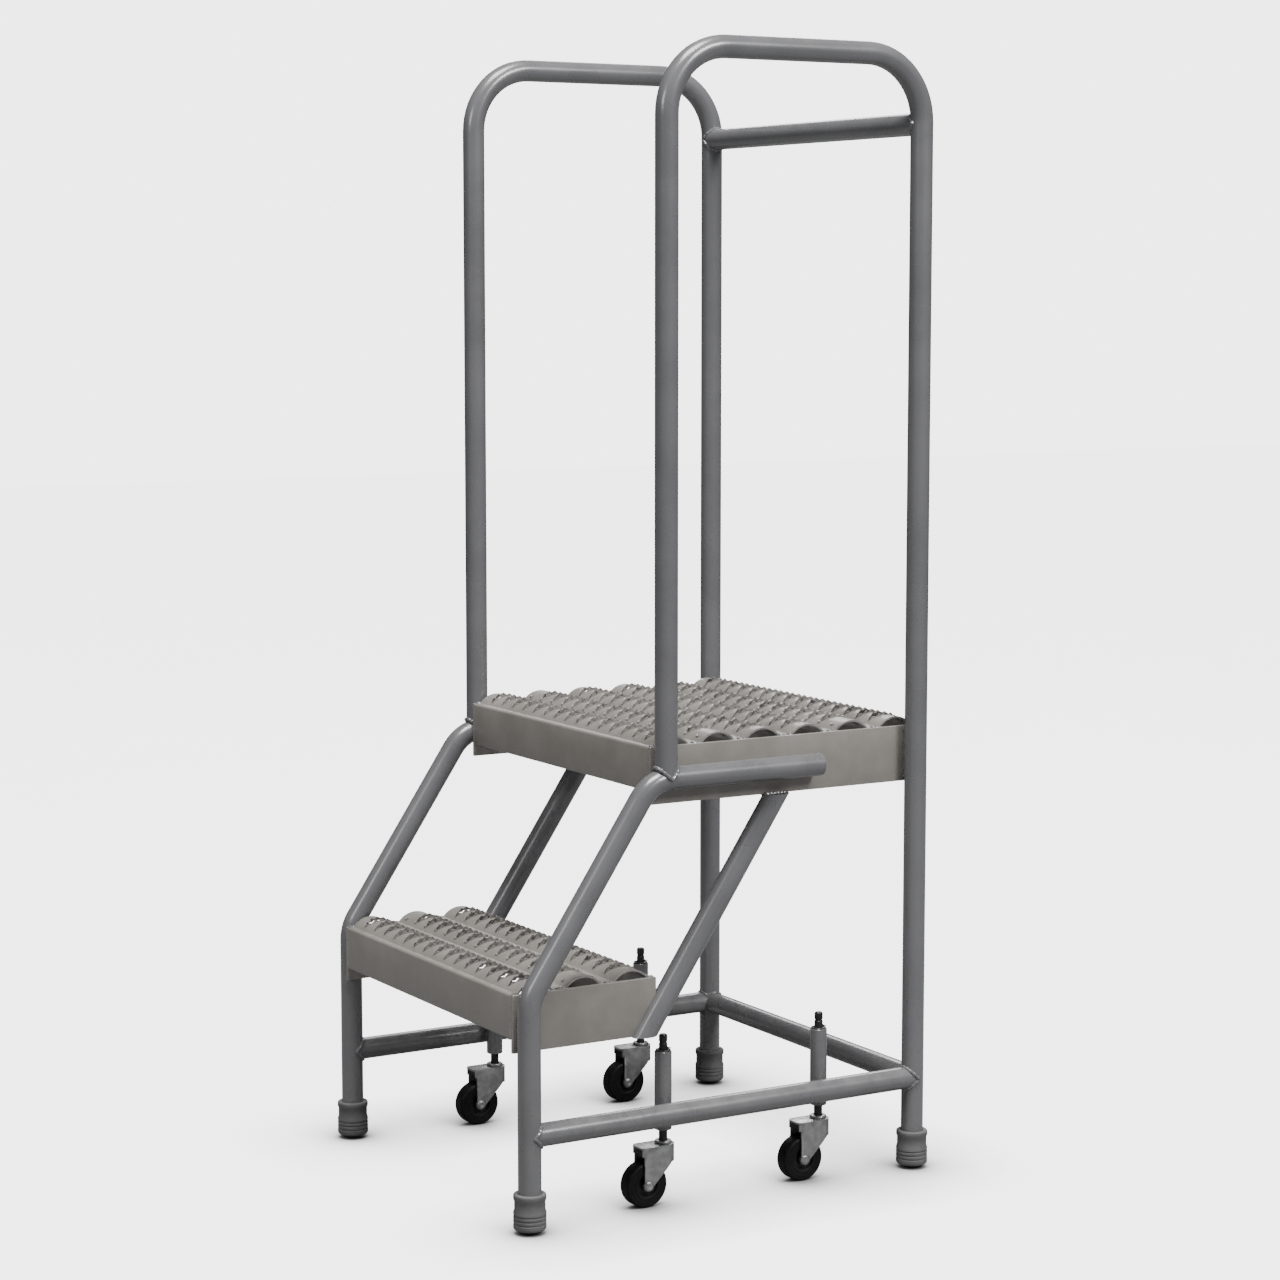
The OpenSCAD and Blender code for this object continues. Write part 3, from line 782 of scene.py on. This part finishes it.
# A turned part: a ring drawn out along Z and widened or narrowed at each step of its profile.
# A solid one has its ends filled, and the others close on themselves round a bore.
def turnPart(profile, sides=48, solid=False):
    clearSelection()
    r, z = profile[0]
    bpy.ops.mesh.primitive_circle_add(vertices=sides, radius=r, fill_type="NOTHING", location=(0, 0, z))
    made = bpy.context.object
    settle(made)
    enterEdit(made)
    bpy.ops.mesh.select_all(action="SELECT")
    if solid:
        bpy.ops.mesh.edge_face_add()
        bpy.ops.mesh.select_all(action="SELECT")
        bpy.ops.mesh.inset(thickness=r * 0.25)
        bpy.ops.mesh.select_all(action="DESELECT")
        leaveEdit()
        for vertex in made.data.vertices:
            vertex.select = abs(math.hypot(vertex.co.x, vertex.co.y) - r) < r * 0.02
        bpy.ops.object.mode_set(mode="EDIT")
    for (r0, z0), (r1, z1) in zip(profile, profile[1:]):
        bpy.ops.mesh.extrude_edges_move(TRANSFORM_OT_translate={"value": (0, 0, z1 - z0)})
        if abs(r1 - r0) > 1e-7:
            bpy.ops.transform.resize(value=(r1 / r0, r1 / r0, 1), center_override=(0, 0, z1))
    if solid:
        bpy.ops.mesh.edge_face_add()
    else:
        bpy.ops.mesh.select_all(action="SELECT")
        bpy.ops.mesh.select_mode(type="VERT")
        leaveEdit()
        rings = (profile[0], profile[-1])
        for vertex in made.data.vertices:
            flat = math.hypot(vertex.co.x, vertex.co.y)
            vertex.select = any(abs(flat - r) < 2e-6 and abs(vertex.co.z - z) < 2e-6 for r, z in rings)
        for edge in made.data.edges:
            edge.select = all(made.data.vertices[v].select for v in edge.vertices)
        for face in made.data.polygons:
            face.select = False
        bpy.ops.object.mode_set(mode="EDIT")
        bpy.ops.mesh.select_mode(type="EDGE")
        bpy.ops.mesh.bridge_edge_loops()
    bpy.ops.mesh.select_all(action="SELECT")
    bpy.ops.mesh.remove_doubles(threshold=0.000002)
    bpy.ops.mesh.normals_make_consistent(inside=False)
    leaveEdit()
    return made


# Corner of a profile, rounded: points on a quarter circle from one angle to another
def roundCorner(centreR, centreZ, radius, start, stop, steps=4):
    return [(centreR + radius * math.cos(math.radians(start + (stop - start) * i / steps)),
             centreZ + radius * math.sin(math.radians(start + (stop - start) * i / steps)))
            for i in range(steps + 1)]


def placeCopy(piece, spot, axis="Z"):
    selectOnly(piece)
    bpy.ops.object.duplicate(linked=False)
    made = bpy.context.object
    if axis == "X":
        made.rotation_euler = (0, math.radians(90), 0)
    made.location = spot
    settle(made)
    return made


def discard(*parts):
    for piece in parts:
        bpy.data.objects.remove(piece)


# Flat side bars, with the rolled edges of hot-rolled stock
sidePlate = {"edge": 0.0007, "edgeSteps": 3}


def makeSidePlate(node):
    low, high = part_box(node)
    clearSelection()
    bpy.ops.mesh.primitive_cube_add(size=1, location=(low + high) / 2)
    bar = bpy.context.object
    bar.scale = high - low
    settle(bar)
    enterEdit(bar, "EDGE")
    bpy.ops.mesh.select_all(action="SELECT")
    bpy.ops.mesh.bevel(offset=sidePlate["edge"], segments=sidePlate["edgeSteps"], affect="EDGES")
    for share in range(1, 8):
        bpy.ops.mesh.select_all(action="SELECT")
        bpy.ops.mesh.bisect(plane_co=(0, low.y + (high.y - low.y) * share / 8, 0), plane_no=(0, 1, 0))
    leaveEdit()
    finishPiece(bar, f"{node}_bar", "frame", "tread_paint", [node])


for side in sides:
    makeSidePlate(f"step_side_plate_{side}")
    makeSidePlate(f"platform_side_plate_{side}")
print("side bars made")


# Sloping brace, cut level at both ends and notched round the back of the step
brace = {"below": 0.4, "above": 1.3, "notch": (0.04, 0.1, 0.08), "notchRise": 0.03}


def makeBrace(side, sign):
    low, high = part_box(f"brace_{side}")
    slope = (stringerPath[2][1] - stringerPath[1][1], stringerPath[2][2] - stringerPath[1][2])
    stepBack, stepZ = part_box(f"step_side_plate_{side}")[1].y, low.z + tube["braceSeat"]
    x = sign * tube["braceX"]
    run = (high.z - low.z) / slope[1]
    down, up = brace["below"] * run, brace["above"] * run
    start = (x, stepBack - down * slope[0], stepZ - down * slope[1])
    stop = (x, stepBack + up * slope[0], stepZ + up * slope[1])
    bar = bendTube([start, stop], 0)
    for height, above in ((high.z, True), (low.z, False)):
        enterEdit(bar)
        bpy.ops.mesh.select_all(action="SELECT")
        bpy.ops.mesh.bisect(plane_co=(0, 0, height), plane_no=(0, 0, 1), clear_outer=above, clear_inner=not above)
        leaveEdit()
    wallTube(bar)
    clearSelection()
    wide, deep = brace["notch"][0], brace["notch"][1]
    bpy.ops.mesh.primitive_cube_add(
        size=1, location=(x - sign * wide / 2, stepBack - deep / 2, low.z + brace["notchRise"]))
    notch = bpy.context.object
    notch.scale = brace["notch"]
    settle(notch)
    applyModifier(bar, "BOOLEAN", operation="DIFFERENCE", object=notch, solver="EXACT")
    discard(notch)
    finishPiece(bar, f"brace_tube_{side}", "frame", "tube_paint", [f"brace_{side}"])


for side, sign in sides.items():
    makeBrace(side, sign)
print("braces made")


# Weld beads, each a closed ring or a short run
weld = {
    "bead": 0.0021, "ripple": 0.16, "step": 0.0011, "tack": 0.0017, "run": 0.024,
    "reach": 0.0058,        # from the line of contact to the fillet's middle
    "runPlaces": (0.12, 0.5, 0.88),
    "tackHalf": 0.0045, "tackIn": 0.006,
    "headFrom": 0.032, "headTo": 0.003,
}


def teeRing(end, way, crossing, inset=0.0):
    # The line where one tube's side meets another tube of the same size
    end, way, crossing = Vector(end), Vector(way), Vector(crossing)
    level = way.cross(crossing)
    ring, steps = [], int(2 * math.pi * tube["r"] / weld["step"])
    for i in range(steps):
        angle = 2 * math.pi * i / steps
        across, along = tube["r"] * math.sin(angle), tube["r"] * math.cos(angle)
        back = math.sqrt(max(tube["r"] ** 2 - across ** 2, 0)) + inset
        ring.append(end - way * back + level * across * 1.02 + crossing * along * 1.02)
    return ring


def beadRun(start, stop):
    start, stop = Vector(start), Vector(stop)
    steps = max(int((stop - start).length / weld["step"]), 6)
    return [start.lerp(stop, i / steps) for i in range(steps + 1)]


def weldPiece(name, rings=(), runs=(), tacks=()):
    beads = [sweepWire(ring, weld["bead"], True, weld["ripple"]) for ring in rings]
    beads += [sweepWire(run, weld["bead"], False, weld["ripple"]) for run in runs]
    beads += [sweepWire(run, weld["tack"], False, weld["ripple"]) for run in tacks]
    return finishPiece(joinPieces(beads), name, "frame", "tube_paint")


def makeFrameWelds(side, sign):
    x, r = sign * tube["legX"], tube["r"]
    face = sign * tube["braceX"]
    stepLow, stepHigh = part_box(f"step_side_plate_{side}")
    topLow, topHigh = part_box(f"platform_side_plate_{side}")
    rings = [
        teeRing((x, tube["postY"], tube["runZ"]), (0, 0, -1), (0, 1, 0)),
        teeRing((x, tube["frontY"], tube["baseZ"]), (0, -1, 0), (0, 0, 1)),
        teeRing((x, tube["rearY"], tube["baseZ"]), (0, 1, 0), (0, 0, 1)),
        teeRing((x, tube["rearY"], tube["baseZ"]), (sign, 0, 0), (0, 0, 1)),
        teeRing((x, tube["rearY"], tube["upperZ"]), (sign, 0, 0), (0, 0, 1)),
    ]
    reach = weld["reach"]
    fill = face + sign * (r - math.sqrt(r ** 2 - reach ** 2)) / 2
    runs = []
    for y in (tube["frontY"] - reach, tube["frontY"] + reach):
        runs.append(beadRun((fill, y, stepLow.z + 0.004), (fill, y, stepHigh.z - 0.022)))
    for y in (tube["rearY"] - reach, tube["rearY"] + reach):
        runs.append(beadRun((fill, y, topLow.z + 0.004), (fill, y, topHigh.z - 0.003)))
    for z in (tube["runZ"] - reach, tube["runZ"] + reach):
        for share in weld["runPlaces"]:
            y = tube["postY"] + share * (tube["runEndY"] - tube["postY"])
            runs.append(beadRun((fill, y - weld["run"] / 2, z), (fill, y + weld["run"] / 2, z)))
    for y in (tube["postY"] - reach, tube["postY"] + reach):
        runs.append(beadRun((fill, y, tube["runZ"] + r), (fill, y, topHigh.z - 0.002)))
    weldPiece(f"frame_weld_{side}", rings, runs)

    # Tacks between planks and side bars, at each flat of the deck
    tacks = []
    for node in ("step_plank", "platform_front_plank", "platform_rear_plank"):
        low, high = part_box(node)
        pitch = (high.y - low.y) / plank["ribs"]
        for flat in range(plank["ribs"] + 1):
            inward = weld["tackIn"] * ((flat == 0) - (flat == plank["ribs"]))
            y, z, half = low.y + flat * pitch + inward, high.z - plank["deckRise"], weld["tackHalf"]
            tacks.append(beadRun((sign * high.x, y - half, z), (sign * high.x, y + half, z)))
        for y in (low.y + 0.004, high.y - 0.004):
            tacks.append(beadRun((sign * high.x, y, low.z + 0.006), (sign * (high.x - 0.0125), y, low.z - 0.0002)))
    weldPiece(f"plank_tack_{side}", tacks=tacks)

    # Brace: round its notched foot and along its head under the side bar
    foot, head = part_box(f"brace_{side}")
    back = stepHigh.y + 0.001
    runs = []
    for inside, low, high in ((0, 0.003, 0.038), (0.0047, 0.006, 0.036)):
        x = face - sign * inside
        runs.append(beadRun((x, back, foot.z + low), (x, back, foot.z + high)))
    for outside in (0.0012, -0.0058):
        x = face + sign * outside
        runs.append(beadRun((x, head.y - weld["headFrom"], head.z), (x, head.y - weld["headTo"], head.z)))
    weldPiece(f"brace_weld_{side}", runs=runs)


for side, sign in sides.items():
    makeFrameWelds(side, sign)
print("welds made")


# Rubber foot tips: a thick cup with a rolled mouth, three grip grooves and a ringed sole
tip = {
    "round": 0.0035, "groove": 0.0008, "grooveRise": 0.0022, "grooves": 3, "waist": 0.0011, "lipTall": 0.008,
    "lipR": 0.002, "mouthR": 0.001, "eye": 0.003, "ringDeep": 0.0012,
    "rings": ((0.006, 0.0098), (0.0125, 0.0131)),       # where the sole meets the floor, from and to
    "ringSlope": 0.0006,
}


def makeTip():
    low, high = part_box("rubber_tip_front_right")
    r, tall, mouth = (high.x - low.x) / 2, high.z - low.z, tube["r"] + 0.0001
    soft = tip["round"]
    deep, slant = tip["ringDeep"], tip["ringSlope"]
    (ringFrom, ringTo), (rimFrom, rimTo) = tip["rings"]
    profile = [(tip["eye"], deep), (ringFrom, deep), (ringFrom + slant, 0), (ringTo, 0), (ringTo + slant, deep),
               (rimFrom, deep), (rimTo, 0)]
    profile += roundCorner(r - soft, soft, soft, -90, 0, 5)
    z = soft + 0.003
    for _ in range(tip["grooves"]):
        rise = tip["grooveRise"]
        profile += [(r, z), (r - tip["groove"], z + rise * 0.3), (r - tip["groove"], z + rise * 0.7), (r, z + rise)]
        z += rise * 2
    waist, lip, roll = r - tip["waist"], tip["lipR"], tip["mouthR"]
    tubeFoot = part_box("stringer_right")[0].z - low.z
    profile += [(r, z), (waist, z + 0.003), (waist, tall - tip["lipTall"]), (r, tall - 0.0055)]
    profile += roundCorner(r - lip, tall - lip, lip, 0, 90, 4)
    profile += roundCorner(mouth + roll, tall - roll, roll, 90, 180, 3)
    profile += [(mouth, tubeFoot), (tip["eye"], tubeFoot)]
    return turnPart(profile, 56)


cup = makeTip()
for corner, sign in corners.items():
    low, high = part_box(f"rubber_tip_{corner}")
    copy = placeCopy(cup, ((low.x + high.x) / 2, (low.y + high.y) / 2, low.z))
    finishPiece(copy, f"ringed_tip_{corner}", "frame", "tip_rubber", [f"rubber_tip_{corner}"], 50)
discard(cup)
print("rubber tips made")


# Caster sleeve with its two guide bushes, and the weld that holds it to the base rail
sleeve = {"chamfer": 0.0006, "bushTall": 0.006, "bushLip": 0.0009, "weldR": 0.0072, "weldBead": 0.0016}

sleeveLow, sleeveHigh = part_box("caster_sleeve_front_right")
sleeveR = (sleeveHigh.x - sleeveLow.x) / 2
sleeveTall = sleeveHigh.z - sleeveLow.z
sleeveBore = sleeveR - tube["wall"]
stemLow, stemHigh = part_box("caster_stem_front_right")
stemR = 0.00475
casterSpot = {}
for corner in corners:
    low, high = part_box(f"caster_sleeve_{corner}")
    casterSpot[corner] = Vector(((low.x + high.x) / 2, (low.y + high.y) / 2, 0))


def makeSleeve():
    cut = sleeve["chamfer"]
    profile = [(sleeveBore, cut), (sleeveBore + cut, 0), (sleeveR - cut, 0), (sleeveR, cut)]
    profile += [(sleeveR, sleeveTall * share / 8) for share in range(1, 8)]
    profile += [(sleeveR, sleeveTall - cut), (sleeveR - cut, sleeveTall), (sleeveBore + cut, sleeveTall),
                (sleeveBore, sleeveTall - cut)]
    return turnPart(profile, 40)


def makeBush():
    lip, tall = sleeve["bushLip"], sleeve["bushTall"]
    bore, outer = stemR + 0.00008, sleeveBore
    return turnPart([(bore, lip), (bore + lip * 0.6, 0.0002), (outer - lip, 0), (outer, lip), (outer, tall - lip),
                     (outer - lip, tall), (bore + lip * 0.6, tall - 0.0002), (bore, tall - lip)], 32)


def sleeveRing(spot, sign):
    # Round the patch where the upright sleeve touches the level rail
    ring = []
    steps = int(2 * math.pi * sleeve["weldR"] / weld["step"]) + 4
    for i in range(steps):
        angle = 2 * math.pi * i / steps
        y, z = sleeve["weldR"] * math.cos(angle), sleeve["weldR"] * math.sin(angle)
        fromSleeve = abs(spot.x) + math.sqrt(sleeveR ** 2 - y ** 2)
        fromRail = tube["legX"] - math.sqrt(tube["r"] ** 2 - z ** 2)
        ring.append((sign * (fromSleeve + fromRail) / 2, spot.y + y, tube["baseZ"] + z))
    return ring


barrel, bush = makeSleeve(), makeBush()
bushes, rings = [], []
bushHeights = (sleeveLow.z, sleeveHigh.z - sleeve["bushTall"])
for corner, sign in corners.items():
    spot = casterSpot[corner]
    made = placeCopy(barrel, (spot.x, spot.y, sleeveLow.z))
    finishPiece(made, f"spring_sleeve_{corner}", "frame", "tube_paint", [f"caster_sleeve_{corner}"])
    bushes += [placeCopy(bush, (spot.x, spot.y, z)) for z in bushHeights]
    rings.append(sweepWire(sleeveRing(spot, sign), sleeve["weldBead"], True, weld["ripple"]))
finishPiece(joinPieces(bushes), "guide_bushes", "frame", "zinc", ["sleeve_guides"])
finishPiece(joinPieces(rings), "sleeve_weld_rings", "frame", "tube_paint", ["sleeve_welds"])
discard(barrel, bush)
print("sleeves made")


# Stem with collar and riveted foot, its washer and split pin, and the spring inside the sleeve
stem = {
    "footR": 0.0075, "footTall": 0.003, "collarR": 0.00762, "collarTall": 0.003, "edge": 0.0004,
    "neck": 0.0006, "neckFrom": 0.0105, "neckTo": 0.0079, "pinR": 0.0012, "pinReach": 0.009, "washer": 0.0012,
}


def makeStem():
    foot, top, edge = stemLow.z, stemHigh.z, stem["edge"]
    footR, collarR, neckR = stem["footR"], stem["collarR"], stemR - stem["neck"]
    flange = foot + stem["footTall"]
    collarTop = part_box("caster_spring_front_right")[0].z - 0.0001
    collarFoot = collarTop - stem["collarTall"]
    profile = [(footR * 0.7, foot + 0.0003), (footR - edge, foot + 0.0006), (footR, foot + 0.0014),
               (footR, flange - 0.0002), (footR - edge, flange), (stemR, flange)]
    profile += [(stemR, collarFoot - edge), (collarR - edge, collarFoot), (collarR, collarFoot + edge),
                (collarR, collarTop - edge), (collarR - edge, collarTop), (stemR, collarTop)]
    profile += [(stemR, sleeveHigh.z - 0.012), (stemR, top - stem["neckFrom"]), (neckR, top - 0.0098),
                (neckR, top - 0.0086), (stemR, top - stem["neckTo"]), (stemR, top - 0.0018)]
    profile += [(stemR - 0.0003, top - 0.0009), (stemR - 0.0012, top - 0.0001), (stemR - 0.0024, top)]
    return turnPart(profile, 36, True)


def makeSplitPin(spot, level):
    # One wire doubled back on itself: a round eye, two legs side by side, ends spread apart
    reach, half = spot.y - stem["pinReach"], stem["pinR"] / 2
    eye, leftLeg, rightLeg = [], [], []
    for i in range(13):
        angle = math.radians(-150 + 300 * i / 12)
        eye.append(Vector((spot.x - 0.00108 * math.sin(angle), reach + 0.0016 - 0.001 * math.cos(angle), level)))
    legShape = ((half, reach + 0.003), (half, spot.y + 0.0062), (0.0012, spot.y + 0.0072), (0.0031, spot.y + 0.0078))
    for spread, y in legShape:
        leftLeg.append(Vector((spot.x - spread, y, level)))
        rightLeg.append(Vector((spot.x + spread, y, level)))
    return sweepWire(leftLeg[::-1] + eye[::-1] + rightLeg, half, sides=3)


def makeWasher():
    outer, tall, edge, bore = sleeveR - 0.001, stem["washer"], 0.00025, stemR + 0.0001
    return turnPart([(bore, edge), (bore + 0.0002, 0), (outer - edge, 0), (outer, edge), (outer, tall - edge),
                     (outer - edge, tall), (bore + 0.0002, tall), (bore, tall - edge)], 36)


spring = {
    "wireR": 0.0009, "turns": 9, "steps": 28, "dead": 1.0,
    "keep": 0.862,          # share of its length left at full travel
}


def springPoints(spot, low, high):
    meanR = (stemR + sleeveBore) / 2
    turns = spring["turns"]
    points = []
    for i in range(turns * spring["steps"] + 1):
        turn = i / spring["steps"]
        # The first and last coil lie closed against the seats
        flat = spring["wireR"] * 2
        span = high - low - 2 * flat
        share = min(max((turn - spring["dead"]) / (turns - 2 * spring["dead"]), 0), 1)
        z = low + flat * min(turn, 1) + span * share + flat * max(turn - turns + 1, 0)
        angle = 2 * math.pi * turn
        points.append((spot.x + meanR * math.cos(angle), spot.y + meanR * math.sin(angle), z))
    return points


rod, ring = makeStem(), makeWasher()
for corner in corners:
    spot = casterSpot[corner]
    made = placeCopy(rod, (spot.x, spot.y, 0))
    finishPiece(made, f"turned_stem_{corner}", f"stem_{corner}", "dark_steel", [f"caster_stem_{corner}"])
    clipLow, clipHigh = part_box(f"caster_clip_{corner}")
    pin = makeSplitPin(spot, clipHigh.z - stem["pinR"])
    flat = placeCopy(ring, (spot.x, spot.y, clipLow.z))
    finishPiece(joinPieces([pin, flat]), f"split_pin_{corner}", f"stem_{corner}", "dark_steel",
                [f"caster_clip_{corner}"])
    low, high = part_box(f"caster_spring_{corner}")
    coil = sweepWire(springPoints(spot, low.z + spring["wireR"], high.z - spring["wireR"]), spring["wireR"], sides=3)
    finishPiece(coil, f"coil_spring_{corner}", "frame", "dark_steel", [f"caster_spring_{corner}"], 60)
    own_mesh(coil)
discard(rod, ring)
print("stems, pins and springs made")


# Swivel fork: the CAD fork with its triangles merged and its edges rounded, and the race on its crown
fork = {"round": 0.0005, "raceR": 0.0095}


def makeFork(corner):
    source = frame["nodes"][f"caster_fork_{corner}"]
    made = source.copy()
    made.data = source.data.copy()
    bpy.context.collection.objects.link(made)
    made.parent = None
    made.matrix_world = Matrix.Identity(4)
    for key in list(made.keys()):
        del made[key]
    enterEdit(made)
    bpy.ops.mesh.select_all(action="SELECT")
    bpy.ops.mesh.remove_doubles(threshold=0.00001)
    bpy.ops.mesh.dissolve_limited(angle_limit=math.radians(1))
    leaveEdit()
    applyModifier(made, "BEVEL", width=fork["round"], segments=2, limit_method="ANGLE", angle_limit=math.radians(40))
    return made


def makeRace():
    low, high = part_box("caster_race_front_right")
    r, tall = fork["raceR"], high.z - low.z
    bore, groove = stemR + 0.0002, r - 0.0005           # the groove is the gap between the two races
    return turnPart([(bore, 0.0003), (bore + 0.0004, 0), (r - 0.0006, 0), (r, 0.0005), (r, 0.0012),
                     (groove, 0.0014), (groove, 0.0017), (r, 0.0019), (r - 0.0001, 0.0022),
                     (r - 0.0006, 0.0028), (r - 0.0016, tall), (bore + 0.0004, tall), (bore, tall - 0.0003)], 44)


def makeAxle():
    low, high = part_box("caster_axle_front_right")
    half, head = (high.x - low.x) / 2, (high.y - low.y) / 2
    shoulder = half - 0.002
    end = [(0.0014, half - 0.0006), (0.0022, half - 0.00015), (0.0034, half), (0.0042, half - 0.0003),
           (head - 0.0004, half - 0.0011), (head, half - 0.0016), (head, shoulder), (0.006, shoulder)]
    return turnPart([(r, -z) for r, z in end] + [(r, z) for r, z in reversed(end)], 32, True)


race, axle = makeRace(), makeAxle()
for corner in corners:
    spot = casterSpot[corner]
    made = placeCopy(race, (spot.x, spot.y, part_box(f"caster_race_{corner}")[0].z))
    finishPiece(made, f"ball_race_{corner}", f"stem_{corner}", "zinc", [f"caster_race_{corner}"])
    finishPiece(makeFork(corner), f"pressed_fork_{corner}", f"fork_{corner}", "zinc", [f"caster_fork_{corner}"])
    low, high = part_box(f"caster_axle_{corner}")
    made = placeCopy(axle, (low + high) / 2, "X")
    finishPiece(made, f"rivet_axle_{corner}", f"fork_{corner}", "zinc", [f"caster_axle_{corner}"])
discard(race, axle)
print("forks made")


# Wheel: hard rubber tyre with rounded shoulders, a moulding line and sidewall rings, on a dished core
wheel = {
    "shoulder": 0.0034, "line": 0.00025, "ringDeep": 0.0005, "rings": 2,
    "coreInset": 0.0022, "dish": 0.0016, "boreR": 0.00308, "bossR": 0.0066,
}


def makeTyre():
    low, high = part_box("caster_tyre_front_right")
    hubLow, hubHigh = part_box("caster_hub_front_right")
    r, half, core = (high.z - low.z) / 2, (high.x - low.x) / 2, (hubHigh.z - hubLow.z) / 2
    soft, deep = wheel["shoulder"], wheel["ringDeep"]
    ringPitch = (r - soft - core) / (2 * wheel["rings"] + 1)
    side = [(core, half - 0.0016), (core + 0.0006, half - 0.0004), (core + 0.0012, half)]
    for i in range(1, wheel["rings"] + 1):
        at = core + 0.0008 + (2 * i - 0.4) * ringPitch
        side += [(at, half), (at + 0.0003, half - deep), (at + 0.0009, half - deep), (at + 0.0012, half)]
    side += roundCorner(r - soft, half - soft, soft, 90, 8, 6)
    crown = [(r - 0.0001, half * 0.35), (r, wheel["line"] * 2), (r, 0)]
    return turnPart([(a, -b) for a, b in side + crown[:-1]] + [(a, b) for a, b in reversed(side + crown)], 64)


def makeCore():
    hubLow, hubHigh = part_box("caster_hub_front_right")
    tyreLow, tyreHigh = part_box("caster_tyre_front_right")
    half, core = (hubHigh.x - hubLow.x) / 2, (hubHigh.z - hubLow.z) / 2
    flank = (tyreHigh.x - tyreLow.x) / 2 - wheel["coreInset"]
    bore, boss = wheel["boreR"], wheel["bossR"]
    side = [(bore, half - 0.0003), (bore + 0.0004, half), (boss - 0.0006, half), (boss, half - 0.0005),
            (boss + 0.0003, flank - wheel["dish"]), (core - 0.0022, flank - wheel["dish"]),
            (core - 0.0014, flank - 0.0002), (core - 0.0006, flank), (core, flank - 0.0004)]
    return turnPart([(a, -b) for a, b in side] + [(a, b) for a, b in reversed(side)], 56)


tyre, core = makeTyre(), makeCore()
for corner in corners:
    low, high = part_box(f"caster_tyre_{corner}")
    centre = (low + high) / 2
    made = placeCopy(tyre, centre, "X")
    finishPiece(made, f"moulded_tyre_{corner}", f"wheel_{corner}", "wheel_rubber", [f"caster_tyre_{corner}"], 40)
    made = placeCopy(core, centre, "X")
    finishPiece(made, f"dished_core_{corner}", f"wheel_{corner}", "wheel_core", [f"caster_hub_{corner}"], 40)
discard(tyre, core)
print("wheels made")
